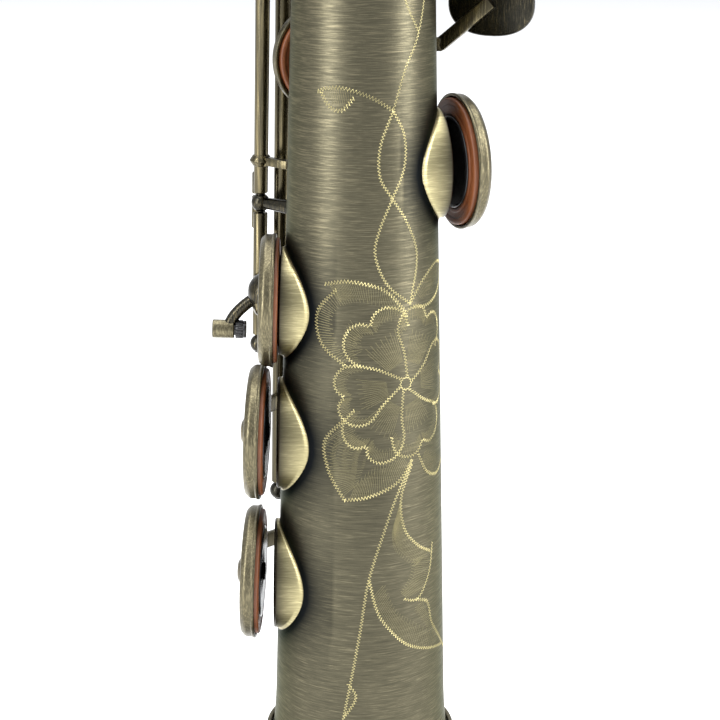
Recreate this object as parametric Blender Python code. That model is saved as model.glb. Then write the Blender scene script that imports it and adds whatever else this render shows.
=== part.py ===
"""A straight soprano saxophone, standing on its bell.

Every size below is in millimetres, and finish() scales the meshes to metres. The bore's axis is Z,
the bell rim rests at z = 0 and the mouthpiece points up. Azimuths are in degrees from +X, counter-
clockwise seen from the mouthpiece: 90 is the front, where the main key stack lies, 180 the
player's left, 0 the player's right and 270 the thumb side, which faces the player.
"""

import math
from collections import namedtuple

import bmesh
import bpy
from mathutils import Matrix, Vector

MM = 0.001
CLEARANCE = 0.3  # between pieces that touch

# The conical body
RING_Z = 63.0  # where the bell ring covers the joint of bell and body
RING_TUBE_RADIUS = 21.78  # outer radius of the cone at that height
TAPER = 0.0275  # loss of outer radius for each millimetre of height
WALL = 0.8
BODY_TOP_Z = 600.0
FOOT_FLARE = 0.6  # the body widens by this much where it enters the ring
FOOT_FLARE_LENGTH = 14.0

# Bell and ring
RIM_RADIUS = 46.0
RIM_BEAD = 1.3
FLARE_POWER = 2.3
RING_HEIGHT = 6.0
RING_THICKNESS = 1.3

# Tone-hole chimneys, key cups and pads
CHIMNEY_RISE = 1.05  # of a hole's flat face above the tube
CHIMNEY_WALL = 0.9
CUP_WALL = 0.8
CUP_DOME = 0.5
CUP_OVER_CHIMNEY = 3.1  # a cup's outer radius less its chimney's
PAD_PROUD = 0.9  # how far a pad stands out of its cup

# Rods, posts and arms
ROD_RADIUS = 1.75
LONG_ROD_RADIUS = 1.9
POST_LENGTH = 4.4  # of a post's head along its rod
POST_RADIUS = 2.4
STEM_RADIUS = 1.7
ARM_THICKNESS = 1.9
ARM_WIDTH = 4.2

# Neck, cork and mouthpiece
RECEIVER_HEIGHT = 14.0
RECEIVER_THICKNESS = 2.0
LUG_AZIMUTH = 60.0  # of the receiver's slit and its screw
NECK_LENGTH = 52.0
NECK_TENON = 12.0
NECK_WALL = 0.9
NECK_COLLAR = 4.0
CORK_THICKNESS = 1.1
CORK_LENGTH = 27.0
MOUTHPIECE_LENGTH = 66.0
MOUTHPIECE_WALL = 3.4
MOUTHPIECE_TIP_RADIUS = 8.0
TABLE_HEEL = 9.0  # distance of the flat table from the axis at the reed's heel
TABLE_TIP = 6.4
REED_WIDTH = 11.0
REED_THICKNESS = 2.4
REED_LENGTH = 60.0
LIGATURE_HEIGHT = 15.0

STACK_AZIMUTH = 86.0
STACK_HINGE = 41.0
Hole = namedtuple("Hole", "z azimuth chimney")  # chimney is its outer radius
HOLES = {
    "low_b_flat": Hole(107.0, 183.5, 13.6),
    "low_b": Hole(144.0, 183.5, 13.6),
    "low_c_sharp": Hole(177.0, 181.0, 13.1),
    "low_c": Hole(210.0, 11.5, 13.1),
    "low_e_flat": Hole(233.0, 119.0, 10.3),
    "d": Hole(277.0, STACK_AZIMUTH, 9.8),
    "e": Hole(308.0, STACK_AZIMUTH, 9.4),
    "f": Hole(337.0, STACK_AZIMUTH, 8.9),
    "f_sharp": Hole(365.0, STACK_AZIMUTH, 7.8),
    "g_sharp": Hole(391.0, 90.0, 6.9),
    "g": Hole(415.0, STACK_AZIMUTH, 7.0),
    "a": Hole(438.0, STACK_AZIMUTH, 6.2),
    "bis": Hole(460.0, STACK_AZIMUTH, 4.2),
    "b": Hole(480.0, STACK_AZIMUTH, 4.8),
    "c": Hole(500.0, STACK_AZIMUTH, 3.9),
    "side_b_flat": Hole(452.0, 4.0, 4.6),
    "side_c": Hole(487.0, 349.0, 4.4),
    "high_e": Hole(548.0, 334.0, 4.0),
    "palm_d": Hole(518.0, 136.0, 4.2),
    "palm_e_flat": Hole(535.0, 178.0, 4.2),
    "palm_f": Hole(565.0, 216.0, 4.0),
    "octave": Hole(581.0, 270.0, 2.2),
    "lower_vent": Hole(450.0, 235.0, 2.2),
}

# A key on a rod that runs along the tube. low and high bound the rod, sharing a post with the next
# key on the same line. rest is how far the cup stands open, travel how far the key turns.
RodKey = namedtuple("RodKey", "hinge lift low high rod rest travel pearl")
ROD_KEYS = {
    "low_b_flat": RodKey(118.0, 13.0, 84.0, 352.0, LONG_ROD_RADIUS, 5.0, 4.8, 0.0),
    "low_b": RodKey(130.0, 13.5, 119.0, 368.0, LONG_ROD_RADIUS, 5.0, 4.8, 0.0),
    "low_c_sharp": RodKey(141.5, 14.2, 160.5, 197.0, ROD_RADIUS, 0.0, 8.0, 0.0),
    "low_c": RodKey(58.0, 9.0, 192.0, 252.0, ROD_RADIUS, 7.0, 6.8, 0.0),
    "low_e_flat": RodKey(76.0, 8.5, 216.0, 259.0, ROD_RADIUS, 0.0, 5.0, 0.0),
    "d": RodKey(STACK_HINGE, 6.0, 262.5, 292.5, ROD_RADIUS, 8.0, 7.8, 5.4),
    "e": RodKey(STACK_HINGE, 6.0, 292.5, 322.5, ROD_RADIUS, 8.0, 7.8, 5.4),
    "f": RodKey(STACK_HINGE, 6.0, 322.5, 351.0, ROD_RADIUS, 8.0, 7.8, 5.4),
    "f_sharp": RodKey(STACK_HINGE, 6.0, 351.0, 378.0, ROD_RADIUS, 8.0, 7.8, 0.0),
    "g_sharp": RodKey(131.0, 5.5, 376.0, 406.0, ROD_RADIUS, 0.0, 14.0, 0.0),
    "g": RodKey(STACK_HINGE, 6.0, 402.0, 426.5, ROD_RADIUS, 9.0, 8.8, 5.4),
    "a": RodKey(STACK_HINGE, 6.0, 426.5, 449.0, ROD_RADIUS, 9.0, 8.8, 5.4),
    "bis": RodKey(STACK_HINGE, 6.0, 449.0, 470.0, ROD_RADIUS, 9.0, 8.8, 3.4),
    "b": RodKey(STACK_HINGE, 6.0, 470.0, 490.0, ROD_RADIUS, 9.0, 8.8, 5.2),
    "c": RodKey(STACK_HINGE, 6.0, 490.0, 510.0, ROD_RADIUS, 9.0, 8.8, 0.0),
    "side_b_flat": RodKey(332.0, 6.0, 340.0, 462.0, ROD_RADIUS, 0.0, 14.0, 0.0),
    "side_c": RodKey(316.0, 6.0, 358.0, 497.0, ROD_RADIUS, 0.0, 14.0, 0.0),
    "high_e": RodKey(299.0, 6.0, 376.0, 558.0, ROD_RADIUS, 0.0, 14.0, 0.0),
}
C_SHARP_LEVER = RodKey(141.5, 14.2, 197.0, 374.0, ROD_RADIUS, 0.0, 8.0, 0.0)

# A finger plate on an arm from a rod. side is +1 towards larger azimuths; reach and rise are the
# plate's centre, along the tube's side and out from the rod; over is the arm's highest point.
Touch = namedtuple("Touch", "z side reach rise over half_width half_height root_z")
TOUCHES = {
    "low_b_flat": Touch(342.0, 1, 23.0, 6.2, 7.0, 7.0, 6.0, 342.0),
    "low_b": Touch(357.0, 1, 16.5, 5.6, 6.4, 7.0, 6.0, 357.0),
    "low_c_sharp_lever": Touch(364.0, -1, 13.0, 3.6, 3.6, 7.5, 5.5, 364.0),
    "low_c": Touch(246.0, -1, 17.0, 2.6, 1.0, 11.0, 7.9, 236.0),
    "low_e_flat": Touch(260.5, -1, 25.0, 2.8, 4.6, 9.5, 5.6, 252.0),
    "g_sharp": Touch(397.0, 1, 15.0, 6.0, 6.4, 7.5, 5.0, 397.0),
    "side_b_flat": Touch(349.0, -1, 7.5, 4.0, 4.0, 4.0, 6.5, 349.0),
    "side_c": Touch(367.0, -1, 7.5, 4.0, 4.0, 4.0, 6.5, 367.0),
    "high_e": Touch(385.0, -1, 7.5, 4.0, 4.0, 4.0, 6.5, 385.0),
}
TOUCH_THICKNESS = 2.0

# A lever along the tube, on a short rod that crosses it: the plate is at one end, the cup at the other.
CrossKey = namedtuple("CrossKey", "hinge_z lift touch_z touch_rise half_width half_length travel")
CROSS_KEYS = {
    "palm_d": CrossKey(490.5, 6.0, 468.0, 9.5, 5.5, 10.0, 9.0),
    "palm_e_flat": CrossKey(506.0, 6.0, 484.0, 9.5, 4.6, 10.0, 8.5),
    "palm_f": CrossKey(546.5, 6.0, 523.0, 9.5, 5.5, 9.0, 9.0),
    "octave": CrossKey(573.5, 6.0, 511.0, 6.5, 4.6, 8.5, 5.0),
    "lower_vent": CrossKey(466.0, 6.0, 478.0, 6.5, 2.6, 4.0, 8.0),
}
CROSS_ROD_HALF = 4.6

FOOT_OFFSET = 2.0  # of the low C sharp cup's foot, above the cup's middle
FOOT_REACH = 7.4
FOOT_DROP = 9.4
FOOT_BARREL_LENGTH = 8.2
FOOT_BARREL_RADIUS = 2.2
COLLAR_Z = 207.6  # of the low C sharp lever's collar and arm
COLLAR_RADIUS = 2.9
BRIDGE_REACH = 3.0
BRIDGE_RISE = 3.4

THUMB_HOOK_Z = 335.0
THUMB_REST_Z = 490.0
THUMB_REST_RADIUS = 6.4
STRAP_RING_Z = 405.0
STRAP_RING_RADIUS = 4.6
STRAP_RING_WIRE = 1.15


def tube_radius(z):
    """Outer radius of the cone at this height."""
    return RING_TUBE_RADIUS - TAPER * (z - RING_Z)


def outward(azimuth):
    """The cone's surface normal on this side."""
    tilt = math.atan(TAPER)
    turn = math.radians(azimuth)
    return Vector((math.cos(turn) * math.cos(tilt), math.sin(turn) * math.cos(tilt), math.sin(tilt)))


def along(azimuth):
    """The direction up the cone's side."""
    turn = math.radians(azimuth)
    return Vector((-TAPER * math.cos(turn), -TAPER * math.sin(turn), 1)).normalized()


def sideways(azimuth):
    """The tangent towards larger azimuths."""
    turn = math.radians(azimuth)
    return Vector((-math.sin(turn), math.cos(turn), 0))


def beside(azimuth, lift, z):
    """The point this far outside the cone's surface."""
    turn = math.radians(azimuth)
    radius = tube_radius(z) + lift
    return Vector((radius * math.cos(turn), radius * math.sin(turn), z))


def hole_face(hole):
    """Centre of a tone hole's flat face."""
    return beside(hole.azimuth, CHIMNEY_RISE, hole.z)


def frame_at(origin, x_axis, z_axis):
    """A right-handed frame with this Z and its X as near to x_axis as that allows."""
    z_axis = z_axis.normalized()
    y_axis = z_axis.cross(x_axis).normalized()
    x_axis = y_axis.cross(z_axis)
    frame = Matrix((x_axis, y_axis, z_axis)).transposed().to_4x4()
    frame.translation = origin
    return frame


# ---------------------------------------------------------------------------- solids


def new_object(name, bm, frame=None):
    """A bmesh made into an object of the scene, its faces turned out."""
    bmesh.ops.recalc_face_normals(bm, faces=bm.faces)
    mesh = bpy.data.meshes.new(name)
    bm.to_mesh(mesh)
    bm.free()
    if frame:
        mesh.transform(frame)
    made = bpy.data.objects.new(name, mesh)
    bpy.context.scene.collection.objects.link(made)
    return made


def frustum(start, end, start_radius, end_radius, sides):
    """A round bar or cone between two points."""
    axis = end - start
    across = Vector((0, 0, 1)) if abs(axis.normalized().z) < 0.9 else Vector((1, 0, 0))
    bm = bmesh.new()
    bmesh.ops.create_cone(
        bm, cap_ends=True, segments=sides, radius1=start_radius, radius2=end_radius, depth=axis.length
    )
    return new_object("bar", bm, frame_at((start + end) / 2, across, axis))


def turned(outline, sides, frame=None):
    """A body turned about Z from (radius, height) points, closed on itself or on the axis."""
    bm = bmesh.new()
    rings = []
    for radius, height in outline:
        if radius == 0:
            rings.append([bm.verts.new((0, 0, height))])
            continue
        steps = [math.tau * i / sides for i in range(sides)]
        rings.append([bm.verts.new((radius * math.cos(a), radius * math.sin(a), height)) for a in steps])
    pairs = list(zip(rings, rings[1:]))
    if len(rings[0]) > 1:
        pairs.append((rings[-1], rings[0]))
    for first, second in pairs:
        for i in range(sides if len(first) + len(second) > 2 else 0):
            j = (i + 1) % sides
            corners = {first[i % len(first)]: None, first[j % len(first)]: None}
            corners.update({second[j % len(second)]: None, second[i % len(second)]: None})
            bm.faces.new(list(corners))
    return new_object("turned", bm, frame)


def prism(outline, half_width, frame):
    """An outline in the frame's XY plane, made this thick along its Z."""
    bm = bmesh.new()
    base = bm.faces.new([bm.verts.new((x, y, -half_width)) for x, y in outline])
    raised = bmesh.ops.extrude_face_region(bm, geom=[base])
    lifted = [item for item in raised["geom"] if isinstance(item, bmesh.types.BMVert)]
    bmesh.ops.translate(bm, verts=lifted, vec=(0, 0, 2 * half_width))
    return new_object("prism", bm, frame)


def flat_bar(start, end, width, thickness, facing, overrun=0.6):
    """A flat bar between two points, its broad side turned to facing."""
    along_bar = (end - start).normalized() * overrun
    outline = [(-thickness / 2, -width / 2), (thickness / 2, -width / 2)]
    outline += [(thickness / 2, width / 2), (-thickness / 2, width / 2)]
    half = (end - start).length / 2 + along_bar.length
    return prism(outline, half, frame_at((start + end) / 2, facing, end - start))


def ribbon(path, thickness):
    """The outline of a strip this thick along a path of (x, y) points."""
    points = [Vector(point) for point in path]
    left, right = [], []
    for i, point in enumerate(points):
        before = (point - points[i - 1]).normalized() if i else None
        after = (points[i + 1] - point).normalized() if i < len(points) - 1 else None
        before, after = before or after, after or before
        normal = Vector((-before.y - after.y, before.x + after.x)).normalized()
        reach = thickness / 2 / max(0.5, normal.dot(Vector((-after.y, after.x))))
        left.append(point + normal * reach)
        right.append(point - normal * reach)
    return left + right[::-1]


def rounded_plate(half_x, half_y, corner_steps=3):
    """A superellipse outline, as a finger plate has."""
    count = 4 * (corner_steps + 1)
    outline = []
    for i in range(count):
        angle = math.tau * (i + 0.5) / count
        c, s = math.cos(angle), math.sin(angle)
        x, y = math.copysign(abs(c) ** 0.7, c), math.copysign(abs(s) ** 0.7, s)
        outline.append((half_x * x, half_y * y))
    return outline


def combined(base, others, operation):
    """The mesh that a Boolean of base with all the others gives. The operands are used up."""
    operands = bpy.data.collections.new("operands")
    bpy.context.scene.collection.children.link(operands)
    for other in others:
        bpy.context.scene.collection.objects.unlink(other)
        operands.objects.link(other)
    step = base.modifiers.new("combine", "BOOLEAN")
    step.operand_type = "COLLECTION"
    step.collection = operands
    step.solver = "EXACT"
    step.operation = operation
    bpy.context.view_layer.update()
    evaluated = base.evaluated_get(bpy.context.evaluated_depsgraph_get())
    mesh = bpy.data.meshes.new_from_object(evaluated)
    for used in list(others) + [base]:
        bpy.data.objects.remove(used)
    bpy.data.collections.remove(operands)
    made = bpy.data.objects.new("combined", mesh)
    bpy.context.scene.collection.objects.link(made)
    return made


def joined(solids):
    return combined(solids[0], solids[1:], "UNION") if len(solids) > 1 else solids[0]


def cut(body, cutters):
    return combined(body, cutters, "DIFFERENCE")


def material(name, colour, roughness, metallic):
    made = bpy.data.materials.new(name)
    made.use_nodes = True
    surface = made.node_tree.nodes["Principled BSDF"]
    surface.inputs["Base Color"].default_value = (*colour, 1)
    surface.inputs["Roughness"].default_value = roughness
    surface.inputs["Metallic"].default_value = metallic
    return made


def finish(solid, name, look, origin=Vector((0, 0, 0))):
    """Names a solid, moves its origin to a point of the model and scales it to metres."""
    mesh = solid.data
    mesh.transform(Matrix.Scale(MM, 4) @ Matrix.Translation(-origin))
    mesh.name = name
    solid.name = name
    solid.location = origin * MM
    mesh.materials.clear()
    mesh.materials.append(look)
    mesh.shade_smooth()
    mesh.set_sharp_from_angle(angle=math.radians(35))
    return solid


# ---------------------------------------------------------------------------- keys


def cup_sizes(hole):
    """Outer radius of a key cup, its height to the wall's top, and its sides."""
    radius = hole.chimney + CUP_OVER_CHIMNEY * min(1, 0.45 + hole.chimney / 24)
    height = 3.4 if hole.chimney > 9 else 2.8
    sides = 20 if hole.chimney > 9 else 14 if hole.chimney > 5 else 10
    return radius, height, sides


def cup_frame(hole):
    """At the centre of the chimney's face, Z outwards."""
    return frame_at(hole_face(hole), along(hole.azimuth), outward(hole.azimuth))


def cup_solid(hole):
    """The cup as it lies when its pad is closed."""
    radius, height, sides = cup_sizes(hole)
    rim = CLEARANCE + PAD_PROUD
    outline = [
        (0, rim + height + CUP_DOME),
        (radius - 1.2, rim + height),
        (radius, rim + height - 1),
        (radius, rim),
        (radius - CUP_WALL, rim),
        (radius - CUP_WALL, rim + height - 1.2),
        (0, rim + height - 1.2),
    ]
    return turned(outline, sides, cup_frame(hole))


def pad_solid(hole):
    radius, height, sides = cup_sizes(hole)
    edge = radius - CUP_WALL - CLEARANCE
    top = CLEARANCE + PAD_PROUD + height - 1.2 - CLEARANCE
    outline = [(0, top), (edge, top), (edge, CLEARANCE), (0, CLEARANCE)]
    return turned(outline, sides, cup_frame(hole))


def crown_height(hole):
    """From the chimney's face to the middle of a cup's dome."""
    return CLEARANCE + PAD_PROUD + cup_sizes(hole)[1] + CUP_DOME


def rod_ends(key):
    """Where a key's hinge tube starts and stops, between its two posts."""
    margin = POST_LENGTH / 2 + CLEARANCE
    return key.low + margin, key.high - margin


def rod_solid(key):
    low, high = rod_ends(key)
    start, end = beside(key.hinge, key.lift, low), beside(key.hinge, key.lift, high)
    return frustum(start, end, key.rod, key.rod, 8)


def arm_to_cup(key, hole):
    """A flat arm that leaves the rod, rises past the cup's edge and lies across its dome."""
    radius = cup_sizes(hole)[0]
    frame = cup_frame(hole)
    hinge = frame.inverted() @ beside(key.hinge, key.lift, hole.z)
    side = math.copysign(1, hinge.y)
    crown = crown_height(hole)
    inner = 0.45 * radius if key.pearl else -0.12 * radius
    path = [
        (side * inner, crown + 0.1),
        (side * 0.62 * radius, crown - (0.3 if key.pearl else -0.1)),
        (side * (radius + 0.4), max(hinge.z + 0.5, crown - CUP_DOME - 0.5)),
        (hinge.y, hinge.z),
    ]
    across = frame_at(frame.translation, frame.col[1].xyz, frame.col[0].xyz)
    turned_path = [(x, y * across.col[1].xyz.dot(frame.col[2].xyz)) for x, y in path]
    return prism(ribbon(turned_path, ARM_THICKNESS), ARM_WIDTH / 2, across)


def pearl_holder(key, hole):
    base = CLEARANCE + PAD_PROUD + cup_sizes(hole)[1]
    outline = [(0, base + 3.2), (key.pearl, base + 3.2), (key.pearl, base - 0.6), (0, base - 0.6)]
    return turned(outline, 14, cup_frame(hole))


def touch_frame(azimuth, lift, z, side):
    """At a rod, X towards the touch, Y outwards and Z along the rod, or against it."""
    x_axis = sideways(azimuth) * side
    return frame_at(beside(azimuth, lift, z), x_axis, x_axis.cross(outward(azimuth)))


def touch_solids(key, touch):
    """The arm from the rod to a finger plate, and the plate."""
    frame = touch_frame(key.hinge, key.lift, touch.z, touch.side)
    outward_y = Vector((0, 1, 0))
    plate_at = frame @ Matrix.Translation((touch.reach, touch.rise + ARM_THICKNESS / 2 + 0.4, 0))
    plate_at = frame_at(plate_at.translation, frame.col[0].xyz, (frame.to_3x3() @ outward_y))
    plate = prism(rounded_plate(touch.half_width, touch.half_height), TOUCH_THICKNESS / 2, plate_at)
    if touch.root_z == touch.z:
        path = [
            (0, 0),
            (1.6, touch.over - 1.0),
            (touch.reach * 0.5, touch.over),
            (touch.reach, touch.rise),
        ]
        return [prism(ribbon(path, ARM_THICKNESS), ARM_WIDTH / 2, frame), plate]
    root = touch_frame(key.hinge, key.lift, touch.root_z, touch.side)
    bends = [
        root.translation,
        root @ Vector((touch.reach * 0.3, touch.over, 0)),
        frame @ Vector((touch.reach, touch.rise, 0)),
    ]
    facing = outward(key.hinge)
    arms = [flat_bar(a, b, ARM_WIDTH * 0.8, ARM_THICKNESS, facing) for a, b in zip(bends, bends[1:])]
    return arms + [plate]


def opening_turn(hinge_point, axis, cup_point, normal, degrees):
    """The rotation about a hinge that lifts the cup by this angle."""
    sense = math.copysign(1, axis.cross(cup_point - hinge_point).dot(normal))
    turn = Matrix.Rotation(math.radians(degrees) * sense, 4, axis)
    return Matrix.Translation(hinge_point) @ turn @ Matrix.Translation(-hinge_point)


def rod_key_origin(key):
    return beside(key.hinge, key.lift, (key.low + key.high) / 2)


def c_sharp_foot(hole):
    """The curved foot on the low C sharp cup, with the barrel of its adjusting screw."""
    up, out = along(hole.azimuth), outward(hole.azimuth)
    start = cup_frame(hole).translation + out * (crown_height(hole) - 0.4) + up * FOOT_OFFSET
    barrel = start + out * FOOT_REACH - up * FOOT_DROP
    bends = [start + out * 1.1 - up * 1.3, start + out * 3.8 - up * 3.6, start + out * 6.4 - up * 6.2, barrel]
    solids = [frustum(start - out * 0.8, start + out * 2.9, 4.7, 3.1, 10)]
    for first, second in zip(bends, bends[1:]):
        reach = (second - first).normalized() * 0.7
        solids.append(frustum(first - reach, second + reach, 1.45, 1.35, 8))
    half = out * FOOT_BARREL_LENGTH / 2
    solids.append(frustum(barrel - half, barrel + half, FOOT_BARREL_RADIUS, FOOT_BARREL_RADIUS, 12))
    return solids


def bridge(key, z_from, z_to):
    """A tab beside a rod that carries its turn past a shared post."""
    root = beside(key.hinge, key.lift, z_from)
    shift = outward(key.hinge) * BRIDGE_RISE - sideways(key.hinge) * BRIDGE_REACH
    corner = root + shift
    tip = beside(key.hinge, key.lift, z_to) + shift
    facing = outward(key.hinge)
    return [flat_bar(root, corner, 3.0, 2.2, facing), flat_bar(corner, tip, 3.0, 2.2, facing, 0.0)]


def build_rod_key(name, key, brass, leather):
    hole = HOLES[name]
    solids = [cup_solid(hole), rod_solid(key), arm_to_cup(key, hole)]
    if key.pearl:
        solids.append(pearl_holder(key, hole))
    if name in TOUCHES:
        solids += touch_solids(key, TOUCHES[name])
    if name == "low_c_sharp":
        solids += c_sharp_foot(hole)
        solids += bridge(key, key.high - 7.5, key.high + 1.0)
    body = joined(solids)
    pad = pad_solid(hole)
    origin = rod_key_origin(key)
    axis = along(key.hinge)
    turn = opening_turn(origin, axis, hole_face(hole), outward(hole.azimuth), key.rest)
    body.data.transform(turn)
    pad.data.transform(turn)
    finish(body, name + "_key", brass, origin)
    finish(pad, name + "_pad", leather, origin)


def build_c_sharp_lever(brass):
    key = C_SHARP_LEVER
    solids = [rod_solid(key)] + touch_solids(key, TOUCHES["low_c_sharp_lever"])
    solids += bridge(key, key.low + 7.0, key.low + 1.3)
    collar = beside(key.hinge, key.lift, COLLAR_Z)
    half = along(key.hinge) * 1.4
    solids.append(frustum(collar - half, collar + half, COLLAR_RADIUS, COLLAR_RADIUS, 10))
    solids.append(flat_bar(collar, collar - outward(key.hinge) * 8.6, 2.2, 2.2, along(key.hinge)))
    finish(joined(solids), "low_c_sharp_lever", brass, rod_key_origin(key))


def cross_frame(name):
    """At a cross key's rod: X up the tube, Y outwards, Z along the rod."""
    key, hole = CROSS_KEYS[name], HOLES[name]
    origin = beside(hole.azimuth, key.lift, key.hinge_z)
    x_axis = along(hole.azimuth)
    return frame_at(origin, x_axis, x_axis.cross(outward(hole.azimuth)))


def build_cross_key(name, brass, leather):
    key, hole = CROSS_KEYS[name], HOLES[name]
    frame = cross_frame(name)
    to_frame = frame.inverted()
    face = to_frame @ hole_face(hole)
    crown = face.y + crown_height(hole) + 0.1
    plate = to_frame @ beside(hole.azimuth, key.touch_rise, key.touch_z)
    way = math.copysign(1, plate.x)
    path = [
        (face.x - way * 1.0, crown),
        (face.x * 0.55, max(crown, 1.2)),
        (0, 0.6),
        (plate.x * 0.5, plate.y * 0.5 + 0.8),
        (plate.x, plate.y),
    ]
    z_axis = frame.col[2].xyz
    rod_start = frame.translation - z_axis * CROSS_ROD_HALF
    rod_end = frame.translation + z_axis * CROSS_ROD_HALF
    plate_at = frame @ Vector((plate.x, plate.y + 0.7, 0))
    plate_frame = frame_at(plate_at, frame.col[0].xyz, frame.col[1].xyz)
    solids = [
        cup_solid(hole),
        prism(ribbon(path, ARM_THICKNESS), 1.7, frame),
        frustum(rod_start, rod_end, ROD_RADIUS - 0.1, ROD_RADIUS - 0.1, 10),
        prism(rounded_plate(key.half_length, key.half_width), TOUCH_THICKNESS / 2, plate_frame),
    ]
    finish(joined(solids), name + "_key", brass, frame.translation)
    finish(pad_solid(hole), name + "_pad", leather, frame.translation)


# ---------------------------------------------------------------------------- body


def post_solids(azimuth, lift, z):
    """The stem and the round head of a post for a rod along the tube."""
    middle = beside(azimuth, lift, z)
    half = along(azimuth) * POST_LENGTH / 2
    foot = beside(azimuth, -WALL * 0.5, z)
    stem = frustum(foot, middle, STEM_RADIUS + 0.35, STEM_RADIUS, 6)
    return [stem, frustum(middle - half, middle + half, POST_RADIUS, POST_RADIUS, 8)]


def posts_across(name):
    """The pair of posts beside a cross key's rod."""
    frame = cross_frame(name)
    key = CROSS_KEYS[name]
    radius = tube_radius(key.hinge_z)
    solids = []
    for side in (-1, 1):
        offset = side * (CROSS_ROD_HALF + 2 * CLEARANCE + 1.3)
        head = frame @ Vector((0, 0, offset))
        foot = frame @ Vector((0, -key.lift - radius * 0.3, side * radius * 0.55))
        half = frame.col[2].xyz * 1.3
        solids.append(frustum(foot, head, 1.5, 1.3, 5))
        solids.append(frustum(head - half, head + half, 2.1, 2.1, 6))
    return solids


def chimney_solids(hole):
    """The outside of a drawn tone hole, and the cutter for its bore."""
    face = hole_face(hole)
    normal = outward(hole.azimuth)
    depth = tube_radius(hole.z) + CHIMNEY_RISE
    foot = face - normal * depth * 0.8
    sides = 20 if hole.chimney > 9 else 12 if hole.chimney > 5 else 8
    bore = hole.chimney - CHIMNEY_WALL
    outside = frustum(foot, face, hole.chimney, hole.chimney, sides)
    return outside, frustum(face - normal * depth * 0.9, face + normal, bore, bore, sides)


def strap_ring_solid():
    """A ring of round wire, soldered on the thumb side."""
    bm = bmesh.new()
    around, across = 12, 5
    rings = []
    for i in range(around):
        turn = math.tau * i / around
        ring = []
        for j in range(across):
            bend = math.tau * j / across
            radius = STRAP_RING_RADIUS + STRAP_RING_WIRE * math.cos(bend)
            height = STRAP_RING_WIRE * math.sin(bend)
            ring.append(bm.verts.new((radius * math.cos(turn), radius * math.sin(turn), height)))
        rings.append(ring)
    for i in range(around):
        for j in range(across):
            k, m = (i + 1) % around, (j + 1) % across
            bm.faces.new((rings[i][j], rings[k][j], rings[k][m], rings[i][m]))
    centre = beside(270, STRAP_RING_RADIUS + 0.6, STRAP_RING_Z)
    return new_object("ring", bm, frame_at(centre, outward(270), along(270)))


def receiver_radius():
    return tube_radius(BODY_TOP_Z) + RECEIVER_THICKNESS


def build_body(brass):
    foot = RING_Z + CLEARANCE / 2
    stations = [foot + FOOT_FLARE_LENGTH * i / 2 for i in range(3)]
    outline = [(0, foot)]
    for z in stations:
        flare = FOOT_FLARE * (1 - (z - foot) / FOOT_FLARE_LENGTH) ** 2
        outline.append((tube_radius(z) + flare, z))
    outline += [(tube_radius(BODY_TOP_Z), BODY_TOP_Z), (0, BODY_TOP_Z)]
    solids = [turned(outline, 28)]
    collar = receiver_radius()
    low = BODY_TOP_Z - RECEIVER_HEIGHT
    sleeve = [(0, low - 2), (tube_radius(low), low - 2), (collar, low)]
    sleeve += [(collar, BODY_TOP_Z + 0.5), (0, BODY_TOP_Z + 0.5)]
    solids.append(turned(sleeve, 20))
    lug_z = BODY_TOP_Z - RECEIVER_HEIGHT / 2
    for side in (-1, 1):
        lug = [(collar - 1.5, side * 0.9), (collar + 4.5, side * 0.9)]
        lug += [(collar + 4.5, side * 3.2), (collar - 1.5, side * 3.2)]
        lug_frame = frame_at(Vector((0, 0, lug_z)), outward(LUG_AZIMUTH), Vector((0, 0, 1)))
        solids.append(prism(lug, 3.4, lug_frame))
    cutters = []
    for hole in HOLES.values():
        outside, bore = chimney_solids(hole)
        solids.append(outside)
        cutters.append(bore)
    rods = list(ROD_KEYS.values()) + [C_SHARP_LEVER]
    places = {(key.hinge, key.lift, z) for key in rods for z in (key.low, key.high)}
    for azimuth, lift, z in sorted(places):
        solids += post_solids(azimuth, lift, z)
    for name in CROSS_KEYS:
        solids += posts_across(name)
    solids.append(strap_ring_solid())
    tenon = tube_radius(BODY_TOP_Z) - WALL
    bore = [
        (0, foot - 2),
        (tube_radius(foot) - WALL + 2 * TAPER + FOOT_FLARE, foot - 2),
        (tube_radius(foot + FOOT_FLARE_LENGTH) - WALL, foot + FOOT_FLARE_LENGTH),
        (tube_radius(low) - WALL - 0.8, low),
        (tenon + 0.7, low + 0.01),
        (tenon + 0.7, BODY_TOP_Z + 2),
        (0, BODY_TOP_Z + 2),
    ]
    cutters.append(turned(bore, 28))
    slit = [(tenon - 2, -0.5), (collar + 8, -0.5), (collar + 8, 0.5), (tenon - 2, 0.5)]
    slit_frame = frame_at(Vector((0, 0, lug_z + 2)), outward(LUG_AZIMUTH), Vector((0, 0, 1)))
    cutters.append(prism(slit, RECEIVER_HEIGHT / 2 + 1, slit_frame))
    screw_frame = neck_screw_frame()
    half = screw_frame.col[2].xyz * 12
    centre = screw_frame.translation
    cutters.append(frustum(centre - half, centre + half, 1.3 + CLEARANCE, 1.3 + CLEARANCE, 10))
    finish(cut(joined(solids), cutters), "body_tube", brass)


def neck_screw_frame():
    """Through the receiver's two lugs, square to its slit."""
    centre = Vector((0, 0, BODY_TOP_Z - RECEIVER_HEIGHT / 2))
    turn = math.radians(LUG_AZIMUTH)
    flat_out = Vector((math.cos(turn), math.sin(turn), 0))
    return frame_at(centre + flat_out * (receiver_radius() + 2.6), Vector((0, 0, 1)), sideways(LUG_AZIMUTH))


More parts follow.
